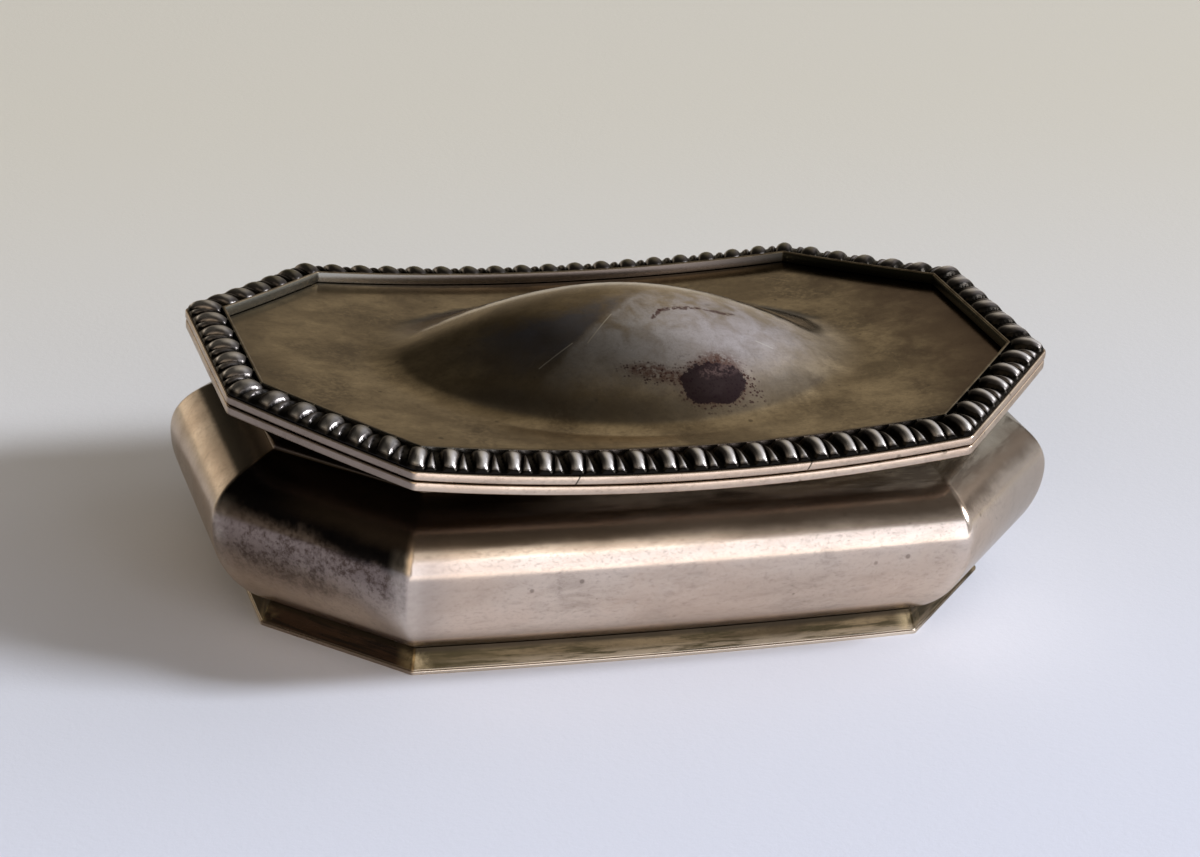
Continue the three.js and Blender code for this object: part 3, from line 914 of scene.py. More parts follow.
hairlines = Group("hairlines", "Mask", Scale=60.0, Width=0.006)
given = hairlines.given
wander = hairlines.noise(given["Vector"], given["Scale"], detail=2.0, roughness=0.5, distortion=0.6)
off_line = hairlines.calc("ABSOLUTE", hairlines.calc("SUBTRACT", wander, 0.5))
off_line = hairlines.calc("DIVIDE", off_line, given["Width"])
unbroken = hairlines.step(hairlines.noise(given["Vector"], HAIRLINE_BREAKS), 0.45, 0.6)
hairlines.put(hairlines.result, hairlines.both(hairlines.step(off_line, 1.0, 0.0), unbroken))
print("groups:", [group.name for group in bpy.data.node_groups])

# %% [markdown]
# ## Silver finishes
# All the metal shares one recipe: a Principled shader with Metallic at 1, a colour that goes from clean to
# tarnished by masks, roughness that follows the tarnish, and a very shallow bump. A tarnished metal is
# darker but still reflects, so the masks change the metal's own colour instead of laying paint over it.
# A layer is written as a colour and a strength, and a place as where its mask starts and where it is full.


# %% A finish
class Finish(Nodes):
    """A material on its way: its nodes, the position on the piece and the colour so far."""

    def __init__(self, name, metallic=1.0):
        self.material = bpy.data.materials.new(name)
        self.material.use_nodes = True
        super().__init__(self.material.node_tree)
        self.shader = self.tree.nodes["Principled BSDF"]
        self.feed(self.shader, Metallic=metallic)
        self.place = self.add("ShaderNodeTexCoord").outputs["Object"]
        self.x, self.y, self.z = self.split(self.place)
        self.colour = None

    def attribute(self, name):
        return self.add("ShaderNodeAttribute", attribute_name=name).outputs["Fac"]

    def cloud(self, scale, low, high):
        return self.use(tarnish, self.place, Scale=scale, Low=low, High=high)

    def span(self, value, start, full):
        """Mask over a distance: 0 at the start and 1 where it is full, both in millimetres."""
        return self.step(value, start * MM, full * MM)

    def lay(self, layer, *masks):
        """Lays a colour over the finish where all the masks are, at the layer's strength."""
        colour, strength = layer
        self.colour = self.mix(self.both(*masks, strength), self.colour, colour)

    def bump(self, height, depth):
        node = self.feed(self.add("ShaderNodeBump"), Height=height, Distance=depth * MM, Strength=1.0)
        self.feed(self.shader, Normal=node.outputs[0])

    def paint(self, *pieces):
        """Hands the colour to the shader and the material to the pieces."""
        self.feed(self.shader, Base_Color=self.colour)
        for piece in pieces:
            piece.data.materials.clear()
            piece.data.materials.append(self.material)
        print(self.material.name, "on", len(pieces), "pieces:", len(self.tree.nodes), "nodes")


# %% The shared recipe
EDGE_TINT = (0.72, 0.69, 0.65)
INNER_SILVER = ((0.5, 0.45, 0.38), (0.36, 0.31, 0.24), (0.12, 0.1, 0.08))
HINGE_METAL = ((0.5, 0.42, 0.3), (0.3, 0.25, 0.17), (0.06, 0.05, 0.04))
SCUFF_STRETCH = 0.6
CLOUD_ROUGHNESS = 0.08
LINE_ROUGHNESS = 0.06


def worn_silver(name, tones, rough, wave_depth, cloud_scale=70.0, stretch=0.35, tint=EDGE_TINT):
    """Silver with clouds of tarnish, polishing lines, scuffs, a few specks and hairlines. Its tones are
    clean, dull and dark."""
    clean, dull, dark = tones
    silver = Finish(name)
    silver.feed(silver.shader, Specular_Tint=tint)
    place = silver.place
    along = silver.scaled(place, stretch, 1.0, 1.0)
    cloud = silver.use(tarnish, along, Scale=cloud_scale, Low=0.36, High=0.66)
    fine = silver.use(tarnish, along, Scale=420.0, Low=0.48, High=0.78)
    lines = silver.use(polish, place)
    scuffs = silver.scaled(place, SCUFF_STRETCH, 1.0, 1.0)
    scuffs = silver.noise(scuffs, 1500.0, detail=3.0, roughness=0.8)
    silver.colour = silver.mix(cloud, clean, dull)
    silver.lay((dark, 0.3), fine)
    silver.lay((dull, 0.25), silver.step(lines, 0.5, 0.75))
    silver.lay((dark, 0.3), silver.step(scuffs, 0.48, 0.72))
    silver.lay((dark, 0.6), silver.use(specks, place, Scale=330.0, Size=0.16, Share=0.2))
    silver.lay((clean, 0.35), silver.use(hairlines, place, Scale=45.0))
    silver.bump(silver.use(worked, place, Scale=45.0, Lines=lines), wave_depth)
    rough_here = silver.shift(rough, cloud, CLOUD_ROUGHNESS)
    silver.feed(silver.shader, Roughness=silver.shift(rough_here, lines, LINE_ROUGHNESS))
    return silver


inner_silver = worn_silver("inner_silver", INNER_SILVER, rough=0.3, wave_depth=0.03)
inner_silver.paint(lid_bezel, frame["nodes"]["base_plate"])
hinge_metal = worn_silver("hinge_metal", HINGE_METAL, rough=0.35, wave_depth=0.02)
hinge_metal.paint(*hinge_pieces)

# %% [markdown]
# ## Bright strips
# The rim and the lid's band are rubbed bright by handling on their outer edge only. Their flat faces turn
# dull and brown a few millimetres in, so the offset stored on the mesh decides how clean the metal is. One
# corner facet of the whole box is darker than the rest, and a function that finds it serves the
# four finishes that meet there.

# %% The dark facet
FACET_DISTANCE = (HALF_LENGTH - CUT_X) * NORMAL_X + HALF_WIDTH * NORMAL_Y
FACET_EDGE = 0.4


def front_left_facet(finish):
    """1 on the front left facet: there the plan reaches further out than on the front and the left side."""
    x, y = finish.x, finish.y
    out = finish.calc("ADD", finish.both(x, -NORMAL_X), finish.both(y, -NORMAL_Y))
    out = finish.calc("SUBTRACT", out, FACET_DISTANCE * MM)
    past_front = finish.calc("ADD", finish.calc("ADD", out, y), HALF_WIDTH * MM)
    past_left = finish.calc("ADD", finish.calc("ADD", out, x), HALF_LENGTH * MM)
    return finish.span(finish.calc("MINIMUM", past_front, past_left), -FACET_EDGE, FACET_EDGE)


# %% Finish of the strips
STRIP_SILVER = ((0.68, 0.55, 0.43), (0.52, 0.40, 0.305), (0.14, 0.105, 0.07))
FLAT_FILM, FLAT_OFFSETS = ((0.11, 0.085, 0.055), 0.9), (6.3, 5.0)
STRIP_FACET_FILM = ((0.16, 0.13, 0.115), 0.75)
NICK_SHADE = ((0.05, 0.04, 0.03), 0.9)
NICKS = (-22.0, 20.0)
NICK_SLANT = 0.5
NICK_EDGE = (0.22, 0.08)
NICKS_Y, NICKS_Z = (-40.0, -45.0), (LID_BOTTOM + 0.5, LID_BOTTOM + 0.7)

strips = worn_silver("strip_silver", STRIP_SILVER, rough=0.18, wave_depth=0.02)
strips.lay(FLAT_FILM, strips.step(strips.attribute("out"), *FLAT_OFFSETS))
strips.lay(STRIP_FACET_FILM, front_left_facet(strips))
on_band = strips.both(strips.span(strips.z, *NICKS_Z), strips.span(strips.y, *NICKS_Y))
for nick in NICKS:
    aside = strips.shift((NICK_SLANT * LID_TOP - nick) * MM, strips.z, -NICK_SLANT)
    aside = strips.calc("ABSOLUTE", strips.calc("ADD", strips.x, aside))
    strips.lay(NICK_SHADE, on_band, strips.span(aside, *NICK_EDGE))
strips.paint(mouth_rim, lid_band)

# %% [markdown]
# ## Body
# The body is the cleanest part, a warm silver. Black grime stays where a cloth can't reach, where the body
# meets the foot and in the neck under the rim, and there painted shade is laid over it, down onto the
# shoulder. One corner facet carries rusty pin-prick corrosion, deepened by painted shade, with a painted dark
# reflection at its top. The lid's shadow is painted on the left end, painted shade dims the front left ridge,
# and the round ridges are rubbed brighter. Heights and facets are picked out from the position itself.

# %% Layers of the body and their places, in millimetres
BODY_SILVER = ((0.70, 0.58, 0.475), (0.58, 0.465, 0.37), (0.15, 0.11, 0.085))
WARM_FILM = ((0.66, 0.49, 0.37), 0.25)
LEFT_RIDGE_SHADE, LEFT_RIDGE_X, LEFT_RIDGE_Y = ((0.40, 0.34, 0.295), 0.55), (-41.0, -49.0), (-40.0, -46.0)
FACET_SHADE_AND_FILM, FACET_SHADE_AND_FILM_Z = ((0.15, 0.115, 0.108), 0.85), (13.0, 23.0)
FACET_RUST = ((0.06, 0.038, 0.028), 0.85)
FACET_DARK_REFLECTION, FACET_BLACK_Z = ((0.010, 0.009, 0.010), 0.97), (26.2, 28.4)
BLACK_SLOPE, BLACK_SLOPE_Y = 2.0, (-34.0, -50.0)
RIGHT_END, RIGHT_END_X = ((0.42, 0.40, 0.375), 0.5), (52.0, 70.0)
RIGHT_NECK_SHADE_AND_GRIME, RIGHT_NECK_Z = ((0.10, 0.09, 0.068), 0.65), (28.0, 31.5)
RUBBED, RUBBED_Z = ((0.82, 0.72, 0.63), 0.5), (28.5, 26.5)
FRONT_X = (-72.0, -60.0)
SHOULDER_SHADE_AND_FILM, SHOULDER_SHADE_AND_FILM_Z = ((0.13, 0.092, 0.065), 0.88), (28.5, 31.2)
NECK_STRENGTH, NECK_Z = 0.85, (31.5, 34.5)
NECK_MIDDLE, NECK_RIGHT, NECK_LEFT = (0.35, 0.32, 0.28), (0.44, 0.40, 0.33), (0.03, 0.023, 0.016)
NECK_RIGHT_X, NECK_LEFT_X = (0.0, 45.0), (-10.0, -40.0)
NECK_STREAK, STREAK_STRENGTH = (0.05, 0.037, 0.025), 0.7
LEFT_END_LID_SHADOW, LEFT_NECK_X, LEFT_NECK_Z = ((0.03, 0.025, 0.018), 0.93), (-66.0, -70.0), (30.4, 31.2)
FOOT_GRIME, FOOT_GRIME_Z = ((0.09, 0.07, 0.045), 0.85), (8.5, 6.5)
CLOUD_WAVE, GRIME_WAVE, FLECK_WAVE = 2.0, 4.0, 0.6
RUST_CLOUD = 0.16
GRIME_STRETCH = 0.4
NECK_STREAK_SCALE = (60.0, 60.0, 900.0)

# %% Finish of the body
body = worn_silver("body_silver", BODY_SILVER, rough=0.15, wave_depth=0.04)
x, y, z = body.x, body.y, body.z
cloud = body.cloud(110.0, low=0.3, high=0.7)
flecks = body.noise(body.place, 1000.0, detail=5.0, roughness=0.75)
facet = front_left_facet(body)
body.lay(WARM_FILM, body.cloud(60.0, low=0.4, high=0.6))
# Painted shade over the front left ridge, which keeps it dim.
body.lay(LEFT_RIDGE_SHADE, body.span(x, *LEFT_RIDGE_X), body.span(y, *LEFT_RIDGE_Y))
height = body.shift(z, cloud, CLOUD_WAVE * MM)
# The front left facet darkens upwards: a dull film with rust flecks, deepened by painted shade.
upper_facet = body.both(facet, body.span(height, *FACET_SHADE_AND_FILM_Z))
body.lay(FACET_SHADE_AND_FILM, upper_facet)
body.lay(FACET_RUST, upper_facet, body.step(body.shift(flecks, cloud, RUST_CLOUD), 0.5, 0.74))
# Painted dark reflection: the top of the facet is laid near black, for the dark room it faces.
height = body.shift(height, body.span(y, *BLACK_SLOPE_Y), BLACK_SLOPE * MM)
body.lay(FACET_DARK_REFLECTION, facet, body.span(height, *FACET_BLACK_Z))
right_end = body.span(x, *RIGHT_END_X)
body.lay(RIGHT_END, right_end)
# Grime with painted shade over it in the neck of the right end.
body.lay(RIGHT_NECK_SHADE_AND_GRIME, right_end, body.span(z, *RIGHT_NECK_Z))
body.lay(RUBBED, body.step(body.attribute("corner"), 0.6, 1.0), cloud, body.span(z, *RUBBED_Z))

# %% Grime and painted shade of the body
wander = body.noise(body.scaled(body.place, GRIME_STRETCH, 1.0, 1.0), 120.0)
wander = body.shift(z, wander, GRIME_WAVE * MM)
in_front = body.span(x, *FRONT_X)
# Grime with painted shade over it: the upper shoulder and the neck under the rim are darkened, blackest
# towards the left.
body.lay(SHOULDER_SHADE_AND_FILM, in_front, body.span(wander, *SHOULDER_SHADE_AND_FILM_Z))
streaks = body.noise(body.scaled(body.place, *NECK_STREAK_SCALE), 1.0, detail=4.0, roughness=0.65)
neck_shade_and_grime = body.mix(body.span(x, *NECK_RIGHT_X), NECK_MIDDLE, NECK_RIGHT)
neck_shade_and_grime = body.mix(body.span(x, *NECK_LEFT_X), neck_shade_and_grime, NECK_LEFT)
neck_shade_and_grime = body.mix(body.both(body.step(streaks, 0.45, 0.62), STREAK_STRENGTH), neck_shade_and_grime, NECK_STREAK)
body.lay((neck_shade_and_grime, NECK_STRENGTH), in_front, body.span(wander, *NECK_Z))
# Painted shadow of the lid on the left end, near the neck, with a flecked crisp edge.
left_height = body.shift(z, flecks, FLECK_WAVE * MM)
at_left = body.both(body.span(x, *LEFT_NECK_X), body.span(left_height, *LEFT_NECK_Z))
body.lay(LEFT_END_LID_SHADOW, at_left, body.invert(facet))
body.lay(FOOT_GRIME, body.span(wander, *FOOT_GRIME_Z))
body.paint(body_shell)

# %% [markdown]
# ## Foot
# The foot is hard to polish, so it stays an olive brown with darker streaks. Its corners are worn through to
# a golden base metal, and the lip that slides on the table is bright.

# %% Finish of the foot
FOOT_SILVER = ((0.15, 0.105, 0.055), (0.055, 0.038, 0.02), (0.015, 0.011, 0.007))
FOOT_STREAK, FOOT_STREAK_SCALE = ((0.030, 0.024, 0.011), 0.8), (70.0, 70.0, 1000.0)
LOW_WEAR, LOW_WEAR_Z = ((0.28, 0.22, 0.15), 0.65), (2.6, 0.9)
FOOT_LEFT, FOOT_LEFT_X = ((0.045, 0.034, 0.016), 0.7), (-15.0, -45.0)
FOOT_FACET, FOOT_FACET_STRENGTH = ((0.028, 0.020, 0.017), (0.075, 0.042, 0.028)), 0.92
GOLDEN_WEAR = ((0.44, 0.33, 0.18), 0.7)
FOOT_TOP_GRIME, FOOT_TOP_Z = ((0.03, 0.022, 0.014), 0.85), (FOOT_TOP - 1.3, FOOT_TOP - 0.4)
LIP_WEAR, LIP_WEAR_STRENGTH = ((0.80, 0.69, 0.56), (0.36, 0.29, 0.23)), 0.9
LIP_WEAR_X, LIP_WEAR_Z = (54.0, 45.0), (FOOT_LIP_HEIGHT + 0.25, FOOT_LIP_HEIGHT - 0.05)

foot = worn_silver("foot_silver", FOOT_SILVER, rough=0.2, wave_depth=0.03)
streaks = foot.noise(foot.scaled(foot.place, *FOOT_STREAK_SCALE), 1.0, detail=5.0, roughness=0.7)
facet = front_left_facet(foot)
foot.lay(FOOT_STREAK, foot.step(streaks, 0.45, 0.6))
foot.lay(LOW_WEAR, foot.span(foot.z, *LOW_WEAR_Z), foot.step(streaks, 0.6, 0.42))
foot.lay(FOOT_LEFT, foot.span(foot.x, *FOOT_LEFT_X))
rusty = foot.mix(foot.step(streaks, 0.42, 0.58), *FOOT_FACET)
foot.lay((rusty, FOOT_FACET_STRENGTH), facet)
patches = foot.cloud(170.0, low=0.4, high=0.62)
foot.lay(GOLDEN_WEAR, foot.step(foot.attribute("corner"), 0.45, 1.0), patches)
foot.lay(FOOT_TOP_GRIME, foot.span(foot.z, *FOOT_TOP_Z))
lip_wear = foot.both(foot.span(foot.z, *LIP_WEAR_Z), foot.span(foot.x, *LIP_WEAR_X))
foot.lay((foot.mix(facet, *LIP_WEAR), LIP_WEAR_STRENGTH), lip_wear)
foot.paint(foot_ring)

# %% [markdown]
# ## Border
# The border's hollows are filled with black tarnish, its lobes are dark silver with rubbed crests, and the
# ledge along the inner edge is a plain brown line. The lobes' inner ends are kept dark, tarnish with painted
# shade over it, and one flank of each lobe carries painted shade. The relief stored on the mesh separates
# the three.

# %% Finish of the border
HOLLOW_BLACK, FLANK_SILVER = (0.007, 0.006, 0.005), (0.23, 0.205, 0.195)
FRONT_CREST, BACK_CREST, BACK_CREST_Y = (0.93, 0.89, 0.87), (0.30, 0.28, 0.21), (20.0, 40.0)
BORDER_FACET_FILM = ((0.03, 0.028, 0.028), 0.45)
WALL_LEFT, WALL_MIDDLE, WALL_RIGHT = (0.235, 0.23, 0.20), (0.15, 0.12, 0.098), (0.012, 0.012, 0.008)
WALL_MIDDLE_X, WALL_RIGHT_X = (-70.0, 0.0), (20.0, 55.0)
LEDGE_BROWNS = ((0.36, 0.29, 0.20), (0.19, 0.145, 0.095))
LOBE_START = (LEDGE_WIDTH + 0.4, LEDGE_WIDTH + 2.6)
LEDGE_END = (LEDGE_WIDTH + 0.05, LEDGE_WIDTH - 0.12)
BLOTCH_WEAR = -0.12
INNER_FLANK = 0.3
BORDER_ROUGHNESS, FLANK_POLISH = 0.28, -0.06
BORDER_DEPTH = 0.015

edging = Finish("border_silver")
edging.feed(edging.shader, Specular_Tint=EDGE_TINT)
x = edging.x
blotch = edging.cloud(300.0, low=0.3, high=0.7)
relief_and_lee_shade = edging.attribute("relief_and_lee_shade")
stands = edging.shift(relief_and_lee_shade, blotch, BLOTCH_WEAR)
# The lobes' inner ends stay dark: tarnish near the ledge, with painted shade over it.
outward = edging.step(edging.attribute("out"), *LOBE_START)
crest = edging.both(edging.step(stands, 0.5, 0.95), outward)
flank = edging.both(edging.step(stands, 0.12, 0.5), edging.shift(INNER_FLANK, outward, 1 - INNER_FLANK))
crest_colour = edging.mix(edging.span(edging.y, *BACK_CREST_Y), FRONT_CREST, BACK_CREST)
edging.colour = edging.mix(crest, edging.mix(flank, HOLLOW_BLACK, FLANK_SILVER), crest_colour)
edging.lay(BORDER_FACET_FILM, front_left_facet(edging))
wall = edging.mix(edging.span(x, *WALL_MIDDLE_X), WALL_LEFT, WALL_MIDDLE)
wall = edging.mix(edging.span(x, *WALL_RIGHT_X), wall, WALL_RIGHT)
ledge = edging.mix(edging.step(relief_and_lee_shade, 0.68, 0.82), wall, edging.mix(blotch, *LEDGE_BROWNS))
edging.colour = edging.mix(edging.step(edging.attribute("out"), *LEDGE_END), edging.colour, ledge)
edging.feed(edging.shader, Roughness=edging.shift(BORDER_ROUGHNESS, flank, FLANK_POLISH))
edging.bump(edging.noise(edging.place, 900.0), BORDER_DEPTH)
edging.paint(*borders)

# %% [markdown]
# ## Lid plate
# The plate is the most tarnished face: an olive-brown film with darker smears, thinner and greyer on the
# dome, which is rubbed most. A painted sheen lies on the dome's front right and a painted dark reflection on
# its front left, parted by a crisp line. It also has one purple-black stain with a rusty fringe, a wandering
# brown line and some scratches, and it carries painted shade along the border, dirt with a painted shadow
# line at the border's foot, and dirt with a painted dark reflection in the crease behind the dome. Marks with
# a known place are made from distances: to a point for a stain, and to a segment for a line. A mask on the
# mesh keeps them off the underside, which is plain dull silver.


# %% Distances on the lid
def oval_reach(finish, centre, radii, degrees=0.0):
    """1 on the edge of an oval, less inside; sizes in millimetres."""
    calc = finish.calc
    cosine, sine = math.cos(math.radians(degrees)), math.sin(math.radians(degrees))
    off_x = calc("SUBTRACT", finish.x, centre[0] * MM)
    off_y = calc("SUBTRACT", finish.y, centre[1] * MM)
    along = calc("ADD", finish.both(off_x, cosine), finish.both(off_y, sine))
    across = calc("SUBTRACT", finish.both(off_y, cosine), finish.both(off_x, sine))
    along = calc("POWER", calc("ABSOLUTE", calc("DIVIDE", along, radii[0] * MM)), 2.0)
    across = calc("POWER", calc("ABSOLUTE", calc("DIVIDE", across, radii[1] * MM)), 2.0)
    return calc("SQRT", calc("ADD", along, across))


def segment_distance(finish, start, end):
    """Distance in metres to a segment of the plan whose ends are in millimetres."""
    calc = finish.calc
    run_x, run_y = end[0] - start[0], end[1] - start[1]
    squared = (run_x ** 2 + run_y ** 2) * MM
    off_x = calc("SUBTRACT", finish.x, start[0] * MM)
    off_y = calc("SUBTRACT", finish.y, start[1] * MM)
    dot = calc("ADD", finish.both(off_x, run_x / squared), finish.both(off_y, run_y / squared))
    share = calc("MINIMUM", calc("MAXIMUM", dot, 0.0), 1.0)
    gap_x = calc("SUBTRACT", off_x, finish.both(share, run_x * MM))
    gap_y = calc("SUBTRACT", off_y, finish.both(share, run_y * MM))
    return calc("SQRT", calc("ADD", finish.both(gap_x, gap_x), finish.both(gap_y, gap_y)))


# %% Films, painted shade and painted reflections of the lid, and their places, in millimetres
LID_SILVER = ((0.60, 0.47, 0.295), (0.33, 0.25, 0.15), (0.09, 0.065, 0.038))
LID_EDGE_TINT = (0.88, 0.84, 0.79)
UNDERSIDE, UNDERSIDE_STRENGTH = (0.50, 0.46, 0.40), 0.6
DOME_RUBBED_AND_SHEEN, DOME_BRIGHT_Y = ((0.66, 0.66, 0.72), 0.85), (10.0, -10.0)
DOME_DARK_REFLECTION, DOME_DARK_Y = ((0.165, 0.175, 0.23), 0.85), (2.0, -6.0)
DOME_CLEAN_AND_SHEEN, DOME_CLEAN_X, DOME_CLEAN_Y = ((0.73, 0.67, 0.69), 0.8), (-8.0, 20.0), (14.0, -4.0)
REFLECTION_EDGE_POINT, REFLECTION_EDGE_NORMAL, REFLECTION_EDGE_SPAN = (-3.4, -5.9), (-0.627, 0.779), (0.0, 2.0)
TOE_SHADE, TOE_SHADE_Y = ((0.15, 0.135, 0.125), 0.55), (-12.0, -20.0)
MOTTLE_FILM = ((0.18, 0.128, 0.076), 0.35)
SMUDGE_FILM = ((0.12, 0.086, 0.054), 0.65)
GRAIN_FILM = ((0.07, 0.05, 0.03), 0.2)
EDGE_INSETS = (11.0, 1.0)
LEFT_BORDER_SHADE, LEFT_BORDER_SHADE_X = ((0.075, 0.055, 0.033), 0.4), (-30.0, -56.0)
RIGHT_BORDER_SHADE, RIGHT_BORDER_SHADE_X = ((0.06, 0.04, 0.026), 0.8), (30.0, 50.0)
PLATE_RIGHT_END_DARKER, PLATE_RIGHT_END_DARKER_X = ((0.10, 0.056, 0.033), 0.7), (50.0, 67.0)
CREASE_DIRT_AND_REFLECTION, CREASE_SLANT, CREASE_Y = ((0.022, 0.017, 0.010), 0.9), 0.126, (15.0, 18.5)
CREASE_INNER_REACH, CREASE_OUTER_REACH = (0.90, 0.98), (1.18, 1.12)
BORDER_DIRT_AND_SHADOW, BORDER_DIRT_AND_SHADOW_INSETS = ((0.045, 0.035, 0.022), 0.85), (1.9, 0.9)
BROAD_WAVE, SHORT_WAVE, END_WAVE, REFLECTION_EDGE_WAVE = 12.0, 4.0, 6.0, 2.0
DOME_RIPPLE, CREASE_RIPPLE, EDGE_RIPPLE, DIRT_AND_SHADOW_RIPPLE = 0.15, 0.08, 4.0, 1.2

# %% Films, painted shade and painted reflections of the lid
lid = worn_silver("lid_silver", LID_SILVER, rough=0.1, wave_depth=0.04, cloud_scale=85.0, stretch=0.75,
                  tint=LID_EDGE_TINT)
x, y = lid.x, lid.y
underside = lid.mix(UNDERSIDE_STRENGTH, lid.colour, UNDERSIDE)
ripple = lid.noise(lid.place, 330.0, detail=5.0, roughness=0.65)
mottle = lid.cloud(210.0, low=0.3, high=0.7)
fray = lid.noise(lid.place, 1100.0, detail=4.0, roughness=0.7)
reach = oval_reach(lid, (0.0, 0.0), (DOME_HALF_LENGTH, DOME_HALF_WIDTH))
on_dome = lid.step(lid.shift(reach, ripple, DOME_RIPPLE), 1.0, 0.6)
broad_y = lid.shift(y, mottle, BROAD_WAVE * MM)
short_y = lid.shift(y, mottle, SHORT_WAVE * MM)
# A crisp wavering line across the dome parts a painted sheen on rubbed metal at the front right from a
# painted dark reflection of the room at the front left.
reflection_edge_start = -(REFLECTION_EDGE_POINT[0] * REFLECTION_EDGE_NORMAL[0] + REFLECTION_EDGE_POINT[1] * REFLECTION_EDGE_NORMAL[1]) * MM
past_edge = lid.shift(lid.shift(reflection_edge_start, x, REFLECTION_EDGE_NORMAL[0]), y, REFLECTION_EDGE_NORMAL[1])
past_edge = lid.span(lid.shift(past_edge, ripple, REFLECTION_EDGE_WAVE * MM), *REFLECTION_EDGE_SPAN)
lid.lay(DOME_RUBBED_AND_SHEEN, on_dome, lid.span(broad_y, *DOME_BRIGHT_Y), lid.invert(past_edge))
lid.lay(DOME_DARK_REFLECTION, on_dome, lid.span(short_y, *DOME_DARK_Y), past_edge)
# Cleaner metal on the right of the dome, brightened into a painted sheen.
clean_and_sheen_dome = lid.both(lid.span(x, *DOME_CLEAN_X), lid.step(reach, 1.05, 0.55))
lid.lay(DOME_CLEAN_AND_SHEEN, clean_and_sheen_dome, lid.span(broad_y, *DOME_CLEAN_Y))
on_toe = lid.both(lid.step(reach, 0.8, 0.9), lid.step(reach, 1.03, 0.98))
lid.lay(TOE_SHADE, on_toe, lid.span(y, *TOE_SHADE_Y))
lid.lay(MOTTLE_FILM, mottle)
smudges = lid.cloud(75.0, low=0.46, high=0.7)
lid.lay(SMUDGE_FILM, smudges, lid.step(fray, 0.3, 0.6), lid.step(reach, 0.85, 1.0))
grain = lid.noise(lid.place, 1700.0, detail=3.0, roughness=0.8)
lid.lay(GRAIN_FILM, lid.step(grain, 0.45, 0.75))
# Painted shade on the plate along the border, a soft band that deepens towards the wall, stronger on the
# right.
near_border = lid.step(lid.shift(lid.attribute("inset"), ripple, EDGE_RIPPLE), *EDGE_INSETS)
lid.lay(LEFT_BORDER_SHADE, near_border, lid.span(x, *LEFT_BORDER_SHADE_X))
lid.lay(RIGHT_BORDER_SHADE, near_border, lid.span(x, *RIGHT_BORDER_SHADE_X))
# Darker towards the right end of the plate.
lid.lay(PLATE_RIGHT_END_DARKER, lid.span(lid.shift(x, mottle, END_WAVE * MM), *PLATE_RIGHT_END_DARKER_X))
# Dirt and a painted dark reflection in the hollow crease behind the dome.
crease = lid.shift(reach, ripple, CREASE_RIPPLE)
crease = lid.both(lid.step(crease, *CREASE_INNER_REACH), lid.step(crease, *CREASE_OUTER_REACH))
lid.lay(CREASE_DIRT_AND_REFLECTION, crease, lid.span(lid.shift(y, x, CREASE_SLANT), *CREASE_Y))

# %% Marks of the lid and their places, in millimetres
STAIN, STAIN_OVAL = ((0.038, 0.023, 0.030), 0.92), ((10.8, -22.7), (6.3, 4.0), 12.0)
STAIN_FRINGE = ((0.15, 0.075, 0.055), 0.4)
STAIN_HEART, HEART_OVAL = ((0.12, 0.09, 0.095), 0.5), ((10.6, -23.2), (3.2, 2.0), 8.0)
STAIN_PALE, PALE_OVAL = ((0.30, 0.21, 0.205), 0.7), ((12.2, -20.4), (4.6, 1.5), 14.0)
RUST_HAZE = ((0.17, 0.082, 0.06), 0.85)
HAZE_OVALS = (((12.5, -19.0), (6.5, 3.4), 15.0), ((0.5, -21.2), (7.0, 2.0), -14.0))
RUST_SPECKS = ((0.07, 0.03, 0.03), 0.8)
SPECK_OVALS = (
    ((18.2, -22.5), (2.3, 4.4), 8.0), ((-1.0, -21.0), (6.0, 2.2), -14.0), ((10.8, -22.7), (8.6, 6.0), 12.0),
)
BROWN_LINE, BROWN_LINE_GAP, BROWN_LINE_WAVE = ((0.11, 0.048, 0.042), 0.85), (1.5, 1.1), 2.0
BROWN_LINE_POINTS = ((3.0, -9.3), (5.2, -7.0), (8.5, -6.0), (13.0, -5.2), (18.7, -5.4), (20.3, -4.7))
SCRATCH, SCRATCH_GAP = ((0.88, 0.84, 0.78), 0.75), (0.16, 0.05)
SCRATCHES = (
    ((-10.3, -13.6), (-4.3, -7.6)), ((-20.0, -16.5), (-13.0, -13.0)), ((22.5, -12.0), (25.5, -12.9)),
)
RIPPLE_MIDDLE = 0.75


# %% Marks of the lid
def oval_mask(oval, wave, outer, inner):
    """Mask of an oval whose rippled edge runs from `outer` to `inner` times its radii."""
    edge = lid.shift(lid.shift(oval_reach(lid, *oval), ripple, wave), fray, wave / 2)
    return lid.step(edge, outer + wave * RIPPLE_MIDDLE, inner + wave * RIPPLE_MIDDLE)


speckle = lid.use(specks, lid.place, Scale=1900.0, Size=0.6, Share=0.6)
for oval in HAZE_OVALS:
    lid.lay(RUST_HAZE, oval_mask(oval, wave=0.9, outer=1.15, inner=0.35), lid.step(fray, 0.34, 0.56))
for oval in SPECK_OVALS:
    lid.lay(RUST_SPECKS, oval_mask(oval, wave=0.5, outer=1.1, inner=0.8), speckle)
lid.lay(STAIN_FRINGE, oval_mask(STAIN_OVAL, wave=0.9, outer=1.3, inner=1.0))
lid.lay(STAIN, oval_mask(STAIN_OVAL, wave=0.9, outer=1.04, inner=0.96))
lid.lay(STAIN_HEART, oval_mask(HEART_OVAL, wave=0.9, outer=1.2, inner=0.6), mottle)
lid.lay(STAIN_PALE, oval_mask(PALE_OVAL, wave=1.0, outer=1.2, inner=0.5), lid.step(fray, 0.42, 0.6))
for start, end in zip(BROWN_LINE_POINTS, BROWN_LINE_POINTS[1:]):
    gap = lid.shift(segment_distance(lid, start, end), ripple, BROWN_LINE_WAVE * MM)
    lid.lay(BROWN_LINE, lid.span(gap, *BROWN_LINE_GAP), lid.step(fray, 0.36, 0.5))
